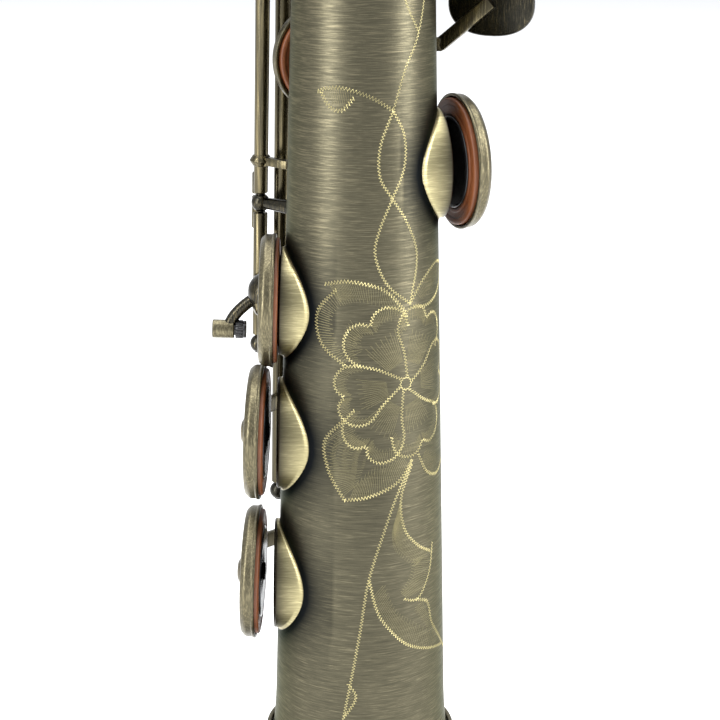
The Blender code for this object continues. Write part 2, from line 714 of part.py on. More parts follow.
def build_bell(brass):
    top = RING_Z - CLEARANCE / 2
    steps = 7
    outer, inner = [], []
    for i in range(steps + 1):
        share = i / steps
        z = RIM_BEAD + (top - RIM_BEAD) * share
        spread = (RIM_RADIUS - RIM_BEAD - RING_TUBE_RADIUS - FOOT_FLARE) * (1 - share) ** FLARE_POWER
        outer.append((RING_TUBE_RADIUS + FOOT_FLARE + spread, z))
        inner.append((RING_TUBE_RADIUS + FOOT_FLARE + spread - WALL, z + 0.25 * (1 - share)))
    bead = [
        (RIM_RADIUS - 2.6, 0.4),
        (RIM_RADIUS - 2.2, 0),
        (RIM_RADIUS - 0.6, 0),
        (RIM_RADIUS, 0.6),
        (RIM_RADIUS, 1.9),
        (RIM_RADIUS - 0.8, 2.5),
    ]
    outline = inner[::-1] + bead + outer[1:]
    finish(turned(outline, 32), "bell", brass)


def build_bell_ring(brass):
    inner = RING_TUBE_RADIUS + FOOT_FLARE + CLEARANCE
    outer = inner + RING_THICKNESS
    low, high = RING_Z - RING_HEIGHT / 2, RING_Z + RING_HEIGHT / 2
    outline = [
        (inner, low),
        (outer - 0.4, low),
        (outer, low + 1.2),
        (outer, high - 1.2),
        (outer - 0.4, high),
        (inner, high),
    ]
    finish(turned(outline, 32), "bell_ring", brass)


def neck_radius(z):
    """Outer radius of the neck, which carries on the body's cone above its collar."""
    return tube_radius(z) - 0.2


def build_neck(brass, cork):
    tenon = tube_radius(BODY_TOP_Z) - WALL + 0.7 - CLEARANCE
    low = BODY_TOP_Z - NECK_TENON
    shelf = BODY_TOP_Z + 0.5 + CLEARANCE
    top = BODY_TOP_Z + NECK_LENGTH
    collar = receiver_radius()
    outline = [
        (tenon, low),
        (tenon, shelf),
        (collar, shelf),
        (collar, shelf + NECK_COLLAR),
        (neck_radius(shelf + NECK_COLLAR), shelf + NECK_COLLAR + 1),
        (neck_radius(top), top),
        (neck_radius(top) - NECK_WALL, top),
        (neck_radius(low) - NECK_WALL, low),
    ]
    finish(turned(outline, 24), "neck", brass)
    start = top - CORK_LENGTH
    sleeve = [
        (neck_radius(start) + CLEARANCE, start),
        (neck_radius(start) + CLEARANCE + CORK_THICKNESS, start),
        (neck_radius(top) + CLEARANCE + CORK_THICKNESS, top - 1),
        (neck_radius(top) + CLEARANCE, top - 1),
    ]
    finish(turned(sleeve, 24), "neck_cork", cork)


def mouthpiece_base_z():
    return BODY_TOP_Z + NECK_LENGTH - CORK_LENGTH + 11


def shank_radius():
    start = mouthpiece_base_z()
    return neck_radius(start) + 2 * CLEARANCE + CORK_THICKNESS + MOUTHPIECE_WALL


def table_y(z):
    """The mouthpiece's flat table, on the thumb side, which slopes towards the tip."""
    share = (mouthpiece_base_z() + MOUTHPIECE_LENGTH - z) / REED_LENGTH
    return -(TABLE_TIP + (TABLE_HEEL - TABLE_TIP) * share)


def build_mouthpiece(ebonite, cane, brass):
    low = mouthpiece_base_z()
    high = low + MOUTHPIECE_LENGTH
    shank = shank_radius()
    outline = [
        (0, low),
        (shank, low),
        (shank, low + 8),
        (shank - 0.5, low + 9),
        (MOUTHPIECE_TIP_RADIUS + 0.8, high - 32),
        (MOUTHPIECE_TIP_RADIUS, high),
        (0, high),
    ]
    body = turned(outline, 24)
    side = frame_at(Vector((0, 0, 0)), Vector((0, 1, 0)), Vector((1, 0, 0)))
    flip = side.col[1].xyz.z
    table_foot = high - REED_LENGTH - 1
    tip = table_y(high)
    beak = [(tip + 1.2, high + 1), (tip + 2.2, high - 1.5), (MOUTHPIECE_TIP_RADIUS + 2, high - 30)]
    beak += [(MOUTHPIECE_TIP_RADIUS + 9, high - 30), (MOUTHPIECE_TIP_RADIUS + 9, high + 1)]
    table = [(table_y(table_foot), table_foot), (table_y(high - 18), high - 18), (tip + 0.7, high + 1)]
    table += [(-20, high + 1), (-20, table_foot)]
    window = [(0.5, high - 30), (tip - 4, high - 30), (tip - 4, high - 3.5), (tip + 0.9, high - 3.5)]
    cutters = []
    for points, half in ((beak, 20), (table, 20), (window, 3.6)):
        cutters.append(prism([(x, z * flip) for x, z in points], half, side))
    bore = shank - MOUTHPIECE_WALL
    inside = [(0, low - 1), (bore, low - 1), (bore - 0.3, low + 20)]
    inside += [(4.3, low + 23), (3.6, high - 26), (0, high - 26)]
    cutters.append(turned(inside, 16))
    finish(cut(body, cutters), "mouthpiece", ebonite)

    heel = high - REED_LENGTH
    near = [(table_y(z) - CLEARANCE, z) for z in (heel, high - 0.5)]
    far = [(near[1][0] - 0.3, high - 0.5), (table_y(high - 24) - REED_THICKNESS, high - 24)]
    reed = near + far + [(near[0][0] - REED_THICKNESS, heel)]
    finish(prism([(x, z * flip) for x, z in reed], REED_WIDTH / 2, side), "reed", cane)

    middle = low + 26
    reed_back = -table_y(middle - LIGATURE_HEIGHT / 2) + CLEARANCE + REED_THICKNESS
    centre = Vector((0, -0.5, middle))
    inner = math.hypot(REED_WIDTH / 2, reed_back + centre.y) + CLEARANCE
    band = [(inner, -LIGATURE_HEIGHT / 2), (inner + 0.9, -LIGATURE_HEIGHT / 2)]
    band += [(inner + 0.9, LIGATURE_HEIGHT / 2), (inner, LIGATURE_HEIGHT / 2)]
    upright = frame_at(centre, Vector((1, 0, 0)), Vector((0, 0, 1)))
    solids = [turned(band, 28, upright)]
    for lug_side in (-1, 1):
        x_near, x_far = lug_side * 1.6, lug_side * 3.8
        lug = [(x_near, -inner - 6.2), (x_far, -inner - 6.2)]
        lug += [(x_far, -inner + 0.4), (x_near, -inner + 0.4)]
        solids.append(prism(lug, LIGATURE_HEIGHT / 2 - 0.6, upright))
    lugs = joined(solids)
    slit = prism([(-1.0, -inner - 3), (1.0, -inner - 3), (1.0, -inner + 2), (-1.0, -inner + 2)], 12, upright)
    holes = [slit]
    for number, rise in enumerate((-4.0, 4.0), 1):
        at = centre + Vector((0, -inner - 3.7, rise))
        reach = Vector((1, 0, 0))
        holes.append(frustum(at - reach * 8, at + reach * 8, 1.2 + CLEARANCE, 1.2 + CLEARANCE, 10))
        screw = joined(
            [
                frustum(at - reach * 5.2, at + reach * 6.0, 1.2, 1.2, 10),
                frustum(at + reach * 4.3, at + reach * 9.8, 2.5, 2.5, 10),
                frustum(at - reach * 5.6, at - reach * 4.2, 1.9, 1.9, 10),
            ]
        )
        finish(screw, f"ligature_screw_{number}", brass)
    finish(cut(lugs, holes), "ligature", brass)


def build_thumb_hook(brass):
    """A plate on the tube with a curved hook for the right thumb."""
    z_axis = sideways(270)
    frame = frame_at(beside(270, 0, THUMB_HOOK_Z), along(270), z_axis)
    out = math.copysign(1, frame.col[1].xyz.dot(outward(270)))
    base = [(-13, CLEARANCE), (13, CLEARANCE), (13, 2.1), (-13, 2.1)]
    hook = [(9, 1.6), (8.5, 6), (6.5, 12), (2, 16), (-5, 17.5), (-9, 16.5)]
    solids = [
        prism([(x, y * out) for x, y in base], 4.6, frame),
        prism(ribbon([(x, y * out) for x, y in hook], 2.2), 5.5, frame),
    ]
    finish(joined(solids), "thumb_hook", brass)


def build_thumb_rest(plastic):
    frame = frame_at(beside(270, CLEARANCE, THUMB_REST_Z), along(270), outward(270))
    outline = [(0, 3.4), (THUMB_REST_RADIUS - 1.5, 3.0), (THUMB_REST_RADIUS, 1.8)]
    outline += [(THUMB_REST_RADIUS, 0), (0, 0)]
    finish(turned(outline, 20, frame), "thumb_rest", plastic)


def build_neck_screw(brass):
    frame = neck_screw_frame()
    axis = frame.col[2].xyz
    centre = frame.translation
    solids = [
        frustum(centre - axis * 4.6, centre + axis * 7.5, 1.3, 1.3, 10),
        frustum(centre + axis * 3.6, centre + axis * 5.4, 2.4, 2.4, 12),
        prism(rounded_plate(3.4, 5.0), 0.9, frame_at(centre + axis * 9.5, axis, Vector((0, 0, 1)))),
    ]
    finish(joined(solids), "neck_screw", brass)


def main():
    for old in list(bpy.data.objects):
        bpy.data.objects.remove(old)
    antique = material("antique_brass", (0.20, 0.17, 0.11), 0.38, 1.0)
    keywork = material("key_brass", (0.42, 0.34, 0.18), 0.32, 1.0)
    leather = material("pad_leather", (0.16, 0.045, 0.02), 0.55, 0.0)
    cork = material("cork", (0.42, 0.26, 0.14), 0.85, 0.0)
    ebonite = material("ebonite", (0.012, 0.012, 0.013), 0.22, 0.0)
    cane = material("cane", (0.72, 0.58, 0.32), 0.55, 0.0)

    build_body(antique)
    build_bell(antique)
    build_bell_ring(keywork)
    build_neck(antique, cork)
    build_neck_screw(keywork)
    build_mouthpiece(ebonite, cane, keywork)
    build_thumb_hook(keywork)
    build_thumb_rest(ebonite)
    for name, key in ROD_KEYS.items():
        build_rod_key(name, key, keywork, leather)
    build_c_sharp_lever(keywork)
    for name in CROSS_KEYS:
        build_cross_key(name, keywork, leather)


main()
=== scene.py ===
# %% [markdown]
# # A soprano saxophone in antique brass
#
# A straight soprano saxophone is one long brass cone with holes up its sides, and a cage of levers
# that covers them. The exact solids of the frame already say where everything is. Here each of them
# gets the fine surface of the real thing: round tubes, drawn tone holes, leather pads, ball posts
# and the hand engraving on the bell's side.
#
# Everything is modelled in millimetres, because that is how an instrument maker thinks, and is
# scaled to metres at the very end.

# %% Load the frame
import math
from collections import namedtuple

import bmesh
import bpy
from mathutils import Matrix, Vector


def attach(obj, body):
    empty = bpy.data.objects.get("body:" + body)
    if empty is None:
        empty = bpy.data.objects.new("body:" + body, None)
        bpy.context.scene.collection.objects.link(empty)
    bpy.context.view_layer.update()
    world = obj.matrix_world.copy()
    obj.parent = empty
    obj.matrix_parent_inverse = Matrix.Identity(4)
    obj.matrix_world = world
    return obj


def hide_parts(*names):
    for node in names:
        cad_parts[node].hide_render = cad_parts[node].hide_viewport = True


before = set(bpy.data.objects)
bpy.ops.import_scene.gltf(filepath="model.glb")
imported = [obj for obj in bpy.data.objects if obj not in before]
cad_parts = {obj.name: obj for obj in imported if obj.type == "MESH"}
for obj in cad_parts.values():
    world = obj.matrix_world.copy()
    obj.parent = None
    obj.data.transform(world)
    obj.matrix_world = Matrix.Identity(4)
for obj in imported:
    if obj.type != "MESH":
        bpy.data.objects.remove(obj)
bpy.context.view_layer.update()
MM = 0.001

# %% [markdown]
# ## The cone and where things sit on it
#
# A saxophone maker measures along the tube and around it. So a place here is a height and an
# azimuth: 270 degrees is the thumb side, which faces the player, 90 is the front with its main
# stack of keys, 180 the player's left and 0 the right.

# %% The conical body
RING_Z = 63.0
RING_TUBE_RADIUS = 21.78
TAPER = 0.0275
WALL = 0.8
BODY_TOP_Z = 600.0
FOOT_FLARE = 0.6
FOOT_FLARE_LENGTH = 14.0
CLEARANCE = 0.3
CHIMNEY_RISE = 1.05


def tube_radius(z):
    """Outer radius of the cone at this height."""
    return RING_TUBE_RADIUS - TAPER * (z - RING_Z)


def outward(azimuth):
    """The cone's surface normal on this side."""
    tilt, turn = math.atan(TAPER), math.radians(azimuth)
    return Vector((math.cos(turn) * math.cos(tilt), math.sin(turn) * math.cos(tilt), math.sin(tilt)))


def along(azimuth):
    """The direction up the cone's side."""
    turn = math.radians(azimuth)
    return Vector((-TAPER * math.cos(turn), -TAPER * math.sin(turn), 1)).normalized()


def sideways(azimuth):
    """The tangent towards larger azimuths."""
    turn = math.radians(azimuth)
    return Vector((-math.sin(turn), math.cos(turn), 0))


def beside(azimuth, lift, z):
    """The point this far outside the cone's surface."""
    turn = math.radians(azimuth)
    radius = tube_radius(z) + lift
    return Vector((radius * math.cos(turn), radius * math.sin(turn), z))


def frame_at(origin, x_axis, z_axis):
    """A right-handed frame with this Z and its X as near to x_axis as that allows."""
    z_axis = z_axis.normalized()
    y_axis = z_axis.cross(x_axis).normalized()
    made = Matrix((y_axis.cross(z_axis), y_axis, z_axis)).transposed().to_4x4()
    made.translation = origin
    return made


print("tube radius at the ring, mm:", tube_radius(RING_Z))
print("tube radius at the top, mm:", round(tube_radius(BODY_TOP_Z), 2))

# %% [markdown]
# ## The tables of the keywork
#
# Each tone hole has a height, an azimuth and the outer radius of its chimney. Each key turns on a
# rod beside the tube, between two posts. Three tables say it all, and every shape below reads them,
# so a cup, its pad, its arm and its posts can't drift apart.

# %% Tone holes
Hole = namedtuple("Hole", "z azimuth chimney")
STACK_AZIMUTH = 86.0
HOLES = {
    "low_b_flat": Hole(107.0, 183.5, 13.6),
    "low_b": Hole(144.0, 183.5, 13.6),
    "low_c_sharp": Hole(177.0, 181.0, 13.1),
    "low_c": Hole(210.0, 11.5, 13.1),
    "low_e_flat": Hole(233.0, 119.0, 10.3),
    "d": Hole(277.0, STACK_AZIMUTH, 9.8),
    "e": Hole(308.0, STACK_AZIMUTH, 9.4),
    "f": Hole(337.0, STACK_AZIMUTH, 8.9),
    "f_sharp": Hole(365.0, STACK_AZIMUTH, 7.8),
    "g_sharp": Hole(391.0, 90.0, 6.9),
    "g": Hole(415.0, STACK_AZIMUTH, 7.0),
    "a": Hole(438.0, STACK_AZIMUTH, 6.2),
    "bis": Hole(460.0, STACK_AZIMUTH, 4.2),
    "b": Hole(480.0, STACK_AZIMUTH, 4.8),
    "c": Hole(500.0, STACK_AZIMUTH, 3.9),
    "side_b_flat": Hole(452.0, 4.0, 4.6),
    "side_c": Hole(487.0, 349.0, 4.4),
    "high_e": Hole(548.0, 334.0, 4.0),
    "palm_d": Hole(518.0, 136.0, 4.2),
    "palm_e_flat": Hole(535.0, 178.0, 4.2),
    "palm_f": Hole(565.0, 216.0, 4.0),
    "octave": Hole(581.0, 270.0, 2.2),
    "lower_vent": Hole(450.0, 235.0, 2.2),
}
print("tone holes:", len(HOLES))

# %% Keys on rods along the tube
RodKey = namedtuple("RodKey", "hinge lift low high rod rest pearl")
STACK_HINGE = 41.0
ROD = 1.75
ROD_KEYS = {
    "low_b_flat": RodKey(118.0, 13.0, 84.0, 352.0, 1.9, 5.0, 0.0),
    "low_b": RodKey(130.0, 13.5, 119.0, 368.0, 1.9, 5.0, 0.0),
    "low_c_sharp": RodKey(141.5, 14.2, 160.5, 197.0, ROD, 0.0, 0.0),
    "low_c": RodKey(58.0, 9.0, 192.0, 252.0, ROD, 7.0, 0.0),
    "low_e_flat": RodKey(76.0, 8.5, 216.0, 259.0, ROD, 0.0, 0.0),
    "d": RodKey(STACK_HINGE, 6.0, 262.5, 292.5, ROD, 8.0, 5.4),
    "e": RodKey(STACK_HINGE, 6.0, 292.5, 322.5, ROD, 8.0, 5.4),
    "f": RodKey(STACK_HINGE, 6.0, 322.5, 351.0, ROD, 8.0, 5.4),
    "f_sharp": RodKey(STACK_HINGE, 6.0, 351.0, 378.0, ROD, 8.0, 0.0),
    "g_sharp": RodKey(131.0, 5.5, 376.0, 406.0, ROD, 0.0, 0.0),
    "g": RodKey(STACK_HINGE, 6.0, 402.0, 426.5, ROD, 9.0, 5.4),
    "a": RodKey(STACK_HINGE, 6.0, 426.5, 449.0, ROD, 9.0, 5.4),
    "bis": RodKey(STACK_HINGE, 6.0, 449.0, 470.0, ROD, 9.0, 3.4),
    "b": RodKey(STACK_HINGE, 6.0, 470.0, 490.0, ROD, 9.0, 5.2),
    "c": RodKey(STACK_HINGE, 6.0, 490.0, 510.0, ROD, 9.0, 0.0),
    "side_b_flat": RodKey(332.0, 6.0, 340.0, 462.0, ROD, 0.0, 0.0),
    "side_c": RodKey(316.0, 6.0, 358.0, 497.0, ROD, 0.0, 0.0),
    "high_e": RodKey(299.0, 6.0, 376.0, 558.0, ROD, 0.0, 0.0),
}
C_SHARP_LEVER = RodKey(141.5, 14.2, 197.0, 374.0, ROD, 0.0, 0.0)
print("keys on long rods:", len(ROD_KEYS) + 1)

# %% Finger plates, and the keys that rock on a rod across the tube
Touch = namedtuple("Touch", "z side reach rise over half_width half_height root_z")
TOUCHES = {
    "low_b_flat": Touch(342.0, 1, 23.0, 6.2, 7.0, 7.0, 6.0, 342.0),
    "low_b": Touch(357.0, 1, 16.5, 5.6, 6.4, 7.0, 6.0, 357.0),
    "low_c_sharp_lever": Touch(364.0, -1, 13.0, 3.6, 3.6, 7.5, 5.5, 364.0),
    "low_c": Touch(246.0, -1, 17.0, 2.6, 1.0, 11.0, 7.9, 236.0),
    "low_e_flat": Touch(260.5, -1, 25.0, 2.8, 4.6, 9.5, 5.6, 252.0),
    "g_sharp": Touch(397.0, 1, 15.0, 6.0, 6.4, 7.5, 5.0, 397.0),
    "side_b_flat": Touch(349.0, -1, 7.5, 4.0, 4.0, 4.0, 6.5, 349.0),
    "side_c": Touch(367.0, -1, 7.5, 4.0, 4.0, 4.0, 6.5, 367.0),
    "high_e": Touch(385.0, -1, 7.5, 4.0, 4.0, 4.0, 6.5, 385.0),
}
CrossKey = namedtuple("CrossKey", "hinge_z lift touch_z touch_rise half_width half_length")
CROSS_KEYS = {
    "palm_d": CrossKey(490.5, 6.0, 468.0, 9.5, 5.5, 10.0),
    "palm_e_flat": CrossKey(506.0, 6.0, 484.0, 9.5, 4.6, 10.0),
    "palm_f": CrossKey(546.5, 6.0, 523.0, 9.5, 5.5, 9.0),
    "octave": CrossKey(573.5, 6.0, 511.0, 6.5, 4.6, 8.5),
    "lower_vent": CrossKey(466.0, 6.0, 478.0, 6.5, 2.6, 4.0),
}
print("touches:", len(TOUCHES), "cross keys:", len(CROSS_KEYS))

# %% [markdown]
# ## A camera and a studio
#
# The instrument stands on its bell on a pale floor, seen from a little above on the thumb side,
# close enough that the lower tube fills the view. The camera comes first, so that everything
# after it can be judged from one place. A long lens keeps the cone's sides nearly parallel.

# %% Camera
AIM = Vector((-0.0004, 0, 0.1621))
LOOK_DOWN = math.radians(16.0)
DISTANCE = 0.435
LENS = 89.45
ROLL = math.radians(0.27)
camera_data = bpy.data.cameras.new("camera")
camera_data.lens = LENS
camera_data.sensor_width = 36.0
camera_data.clip_end = 50.0
camera = bpy.data.objects.new("camera", camera_data)
camera.location = AIM + DISTANCE * Vector((0, -math.cos(LOOK_DOWN), math.sin(LOOK_DOWN)))
aimed = (AIM - camera.location).to_track_quat("-Z", "Y").to_matrix() @ Matrix.Rotation(ROLL, 3, "Z")
camera.rotation_euler = aimed.to_euler()
bpy.context.scene.collection.objects.link(camera)
bpy.context.scene.camera = camera
print("camera at", [round(v, 4) for v in camera.location])

# %% [markdown]
# ## Shader maths in plain Python
#
# Node graphs read better as formulas. `Value` wraps one socket, and Python's own operators add the
# Math nodes. `Look` owns a material and makes every other node through one method.

# %% Values and looks
class Value:
    """A socket that carries a number, a colour or a vector."""

    def __init__(self, look, socket):
        self.look, self.socket = look, socket

    def maths(self, operation, *others, clamp=False):
        settings = {"operation": operation, "use_clamp": clamp}
        sockets = {i: other for i, other in enumerate((self,) + others)}
        return self.look.node("ShaderNodeMath", settings, sockets)

    def __add__(self, other):
        return self.maths("ADD", other)

    def __sub__(self, other):
        return self.maths("SUBTRACT", other)

    def __rsub__(self, other):
        return (self * -1.0).maths("ADD", other)

    def __mul__(self, other):
        return self.maths("MULTIPLY", other)

    def clamped(self):
        return self.maths("ADD", 0.0, clamp=True)

    __radd__ = __add__
    __rmul__ = __mul__


class Look:
    """One finish: a material with a Principled shader and whatever feeds it."""

    def __init__(self, name, metallic, roughness):
        self.material = bpy.data.materials.new(name)
        self.material.use_nodes = True
        self.tree = self.material.node_tree
        self.surface = self.tree.nodes["Principled BSDF"]
        self.surface.inputs["Metallic"].default_value = metallic
        self.surface.inputs["Roughness"].default_value = roughness

    def node(self, kind, settings=None, sockets=None, output=0):
        made = self.tree.nodes.new(kind)
        for key, value in (settings or {}).items():
            setattr(made, key, value)
        for key, value in (sockets or {}).items():
            self.feed(made.inputs[key], value)
        return Value(self, made.outputs[output])

    def feed(self, socket, value):
        if isinstance(value, Value):
            self.tree.links.new(value.socket, socket)
        else:
            socket.default_value = value

    def set(self, **inputs):
        for key, value in inputs.items():
            self.feed(self.surface.inputs[key.replace("_", " ").title()], value)
        return self

    def place(self, stretch=(1, 1, 1)):
        """Object coordinates in metres, stretched for a pattern that runs one way."""
        where = self.node("ShaderNodeTexCoord", output="Object")
        return self.node("ShaderNodeMapping", None, {"Vector": where, "Scale": stretch})

    def noise(self, scale, detail=2.0, stretch=(1, 1, 1), rough=0.5):
        sockets = {"Vector": self.place(stretch), "Scale": scale, "Detail": detail, "Roughness": rough}
        return self.node("ShaderNodeTexNoise", {"noise_dimensions": "3D"}, sockets)

    def mix(self, share, first, second):
        """A blend of two colours. A Mix node keeps those of its colour mode at 6, 7 and 2."""
        sockets = {0: share, 6: first, 7: second}
        return self.node("ShaderNodeMix", {"data_type": "RGBA"}, sockets, 2)

    def speckled(self, scale, first, second):
        """A base colour that wanders between two."""
        return self.set(base_color=self.mix(self.noise(scale), first, second))

    def bump(self, height, depth):
        sockets = {"Height": height, "Strength": 1.0, "Distance": depth}
        return self.set(normal=self.node("ShaderNodeBump", None, sockets))


print("shader tools ready")

# %% [markdown]
# ## Antique brass
#
# The maker brushes the brass, blackens it in a bath and brushes it again. The body is brushed
# around the tube, so fine lines run level across it, and the black stays in them. A noise that is
# stretched along the tube's girth gives such lines: it changes fast with height and slowly around.

# %% The body's brushed antique brass
def rgb(red, green, blue):
    return (red, green, blue, 1.0)


def brushed(name, dark, mid, light, roughness, grain):
    """Brass brushed one way, with the dark of the bath left in its lines. grain stretches the lines."""
    look = Look(name, 1.0, roughness)
    lines = look.noise(1.0, 5.0, grain, 0.62)
    streaks = look.noise(0.45, 4.0, grain, 0.55)
    cloud = look.noise(26.0, 3.0, (1, 1, 0.35))
    share = ((lines - 0.5) * 1.9 + (streaks - 0.5) * 0.8 + (cloud - 0.5) * 0.9 + 0.5).clamped()
    warm = look.mix(share, dark, mid)
    patina_and_shade = look.node("ShaderNodeAttribute", {"attribute_name": "patina_and_shade"}, None, "Fac")
    tone = look.mix(((share - 0.55) * 1.6).clamped(), warm, light)
    # Near the chimneys the colour goes almost black: this is the bath's dark in the crease, and painted
    # shade under the key cups.
    look.set(base_color=look.mix((patina_and_shade * 1.5).clamped(), tone, rgb(0.006, 0.007, 0.008)))
    look.set(roughness=((0.5 - lines) * 0.25 + (0.5 - cloud) * 0.10 + roughness).clamped())
    return look.bump(lines, 0.00002)


AROUND = (230.0, 230.0, 6200.0)
UPRIGHT = (2600.0, 2600.0, 60.0)
body_brass = brushed("antique_brass_body", rgb(0.056, 0.052, 0.036), rgb(0.123, 0.112, 0.073),
                     rgb(0.222, 0.194, 0.124), 0.38, AROUND)
body_brass.set(specular_tint=rgb(0.55, 0.57, 0.52))
rod_brass = brushed("antique_brass_rods", rgb(0.045, 0.040, 0.028), rgb(0.14, 0.12, 0.07),
                    rgb(0.30, 0.245, 0.13), 0.27, UPRIGHT)
print(body_brass.material.name, rod_brass.material.name)

# %% [markdown]
# ## Brighter brass and dark fittings
#
# Cups and chimneys are relieved further, so their faces are a satin yellow. Posts are hardly relieved
# at all; the finger plates share their dark brass, which also paints in the shade seen under the low C
# touch. An attribute on the mesh, `edge`, says how sharp the corner at a vertex is, so one finish can
# darken every corner. The engraver's bold cuts show clean brass, and the fine ones a duller one.

# %% Satin and dark brass
def relieved(name, dark, mid, light, roughness, grain):
    look = brushed(name, dark, mid, light, roughness, grain)
    edge = look.node("ShaderNodeAttribute", {"attribute_name": "edge"}, None, "Fac")
    face = look.surface.inputs["Base Color"].links[0].from_socket
    # Every sharp corner is darkened towards this colour.
    tone = look.mix((edge * 1.1).clamped(), Value(look, face), rgb(0.03, 0.027, 0.022))
    return look.set(base_color=tone)


FINE = (4200.0, 4200.0, 420.0)
cup_brass = relieved("satin_brass_cups", rgb(0.060, 0.054, 0.036), rgb(0.175, 0.153, 0.094),
                     rgb(0.310, 0.270, 0.160), 0.35, FINE)
LEVEL = (300.0, 300.0, 4200.0)
chimney_brass = relieved("satin_brass_chimneys", rgb(0.26, 0.23, 0.125), rgb(0.47, 0.415, 0.225),
                         rgb(0.66, 0.59, 0.34), 0.38, LEVEL)
dark_brass = relieved("dark_brass_fittings", rgb(0.018, 0.018, 0.016), rgb(0.050, 0.046, 0.034),
                      rgb(0.16, 0.13, 0.07), 0.25, FINE)
cut_brass = Look("bright_cut_brass", 1.0, 0.32)
cut_brass.speckled(900.0, rgb(0.46, 0.40, 0.18), rgb(0.70, 0.62, 0.32)).set(roughness=0.42)
faint_brass = Look("fine_cut_brass", 1.0, 0.42)
faint_brass.speckled(900.0, rgb(0.17, 0.15, 0.075), rgb(0.30, 0.265, 0.14))
print(cup_brass.material.name, dark_brass.material.name, cut_brass.material.name)

# %% [markdown]
# ## Leather, resonator, pearl, ebonite, cork and cane
#
# The pads are thin brown leather, stretched over felt, with a fine grain. A black disc reflects the
# sound at the middle of each. The finger touches are mother of pearl, whose colour wanders between
# pink and green. The mouthpiece is hard black rubber, the neck's sleeve is cork, and the reed is
# cane, whose fibres run along it.

# %% Soft and dark materials
leather = Look("pad_leather", 0.0, 0.48)
grain = leather.noise(2600.0, 3.0)
leather.speckled(300.0, rgb(0.095, 0.027, 0.008), rgb(0.20, 0.062, 0.018))
leather.set(roughness=(grain - 0.5) * 0.25 + 0.46).bump(grain, 0.00004)
resonator = Look("black_resonator", 0.0, 0.24)
resonator.speckled(500.0, rgb(0.006, 0.006, 0.007), rgb(0.018, 0.017, 0.017))
pearl = Look("mother_of_pearl", 0.0, 0.18)
sheen = pearl.noise(260.0, 3.0, (1, 1, 2))
pearl.set(base_color=pearl.mix(sheen, rgb(0.86, 0.80, 0.76), rgb(0.70, 0.82, 0.80)), coat_weight=0.6)
ebonite = Look("ebonite", 0.0, 0.20)
ebonite.speckled(300.0, rgb(0.008, 0.008, 0.009), rgb(0.016, 0.015, 0.015))
ebonite.set(roughness=(ebonite.noise(900.0, 4.0) - 0.5) * 0.12 + 0.2)
cork = Look("cork", 0.0, 0.85)
flecks = cork.noise(1400.0, 4.0)
fleck_share = ((flecks - 0.42) * 5.0).clamped()
cork.set(base_color=cork.mix(fleck_share, rgb(0.20, 0.10, 0.045), rgb(0.52, 0.34, 0.19)))
cork.bump(flecks, 0.00012)
cane = Look("cane", 0.0, 0.55)
fibres = cane.noise(1.0, 3.0, (2600.0, 2600.0, 60.0))
cane.set(base_color=cane.mix(fibres, rgb(0.60, 0.45, 0.20), rgb(0.84, 0.70, 0.42))).bump(fibres, 0.00002)
print("materials:", len(bpy.data.materials))

# %% [markdown]
# ## Making solids
#
# Three tools make nearly every piece: a profile spun round an axis, an outline pulled to a
# thickness with its corners bevelled, and a gathering step that joins such solids into one piece,
# puts it in metres and lets it ride on its body.

# %% Spun solids
def softened(outline, radius=0.3, steps=3, closed=False):
    """An outline of (across, up) points with its corners rounded, as far as its sides allow."""
    points = [Vector(point) for point in outline]
    made = []
    for i, point in enumerate(points):
        if not closed and i in (0, len(points) - 1):
            made.append(point)
            continue
        before, after = points[i - 1] - point, points[(i + 1) % len(points)] - point
        reach = min(radius, before.length * 0.45, after.length * 0.45)
        start, end = point + before.normalized() * reach, point + after.normalized() * reach
        for k in range(steps + 1):
            t = k / steps
            made.append(start.lerp(point, t).lerp(point.lerp(end, t), t))
    return made


def spun(outline, sides, place=None, closed=False):
    """A solid of revolution about Z. An open outline starts and ends on the axis."""
    bm = bmesh.new()
    verts = [bm.verts.new((point[0], 0, point[1])) for point in outline]
    pairs = list(zip(verts, verts[1:])) + ([(verts[-1], verts[0])] if closed else [])
    edges = [bm.edges.new(pair) for pair in pairs]
    bmesh.ops.spin(bm, geom=verts + edges, axis=(0, 0, 1), cent=(0, 0, 0), angle=math.tau,
                   steps=sides, use_merge=True)
    bmesh.ops.remove_doubles(bm, verts=bm.verts, dist=0.0005)
    return placed(bm, place)


def placed(bm, place=None):
    """Turns a solid's faces out and puts it in its place."""
    bmesh.ops.recalc_face_normals(bm, faces=bm.faces)
    if place:
        bmesh.ops.transform(bm, matrix=place, verts=bm.verts)
    return bm


def upright(start, end):
    """A frame halfway between two points, with Z from one to the other."""
    axis = end - start
    across = Vector((0, 0, 1)) if abs(axis.normalized().z) < 0.9 else Vector((1, 0, 0))
    return frame_at((start + end) / 2, across, axis)


def bar(start, end, radius, sides=32, end_radius=None, corner=0.25):
    """A round bar or cone with softened ends."""
    half = (end - start).length / 2
    last = radius if end_radius is None else end_radius
    outline = [(0, -half), (radius, -half), (last, half), (0, half)]
    return spun(softened(outline, corner), sides, upright(start, end))


def ball(centre, radius, sides=24):
    bm = bmesh.new()
    bmesh.ops.create_uvsphere(bm, u_segments=sides, v_segments=sides // 2, radius=radius)
    bmesh.ops.translate(bm, verts=bm.verts, vec=centre)
    return bm


print("spun solids ready")

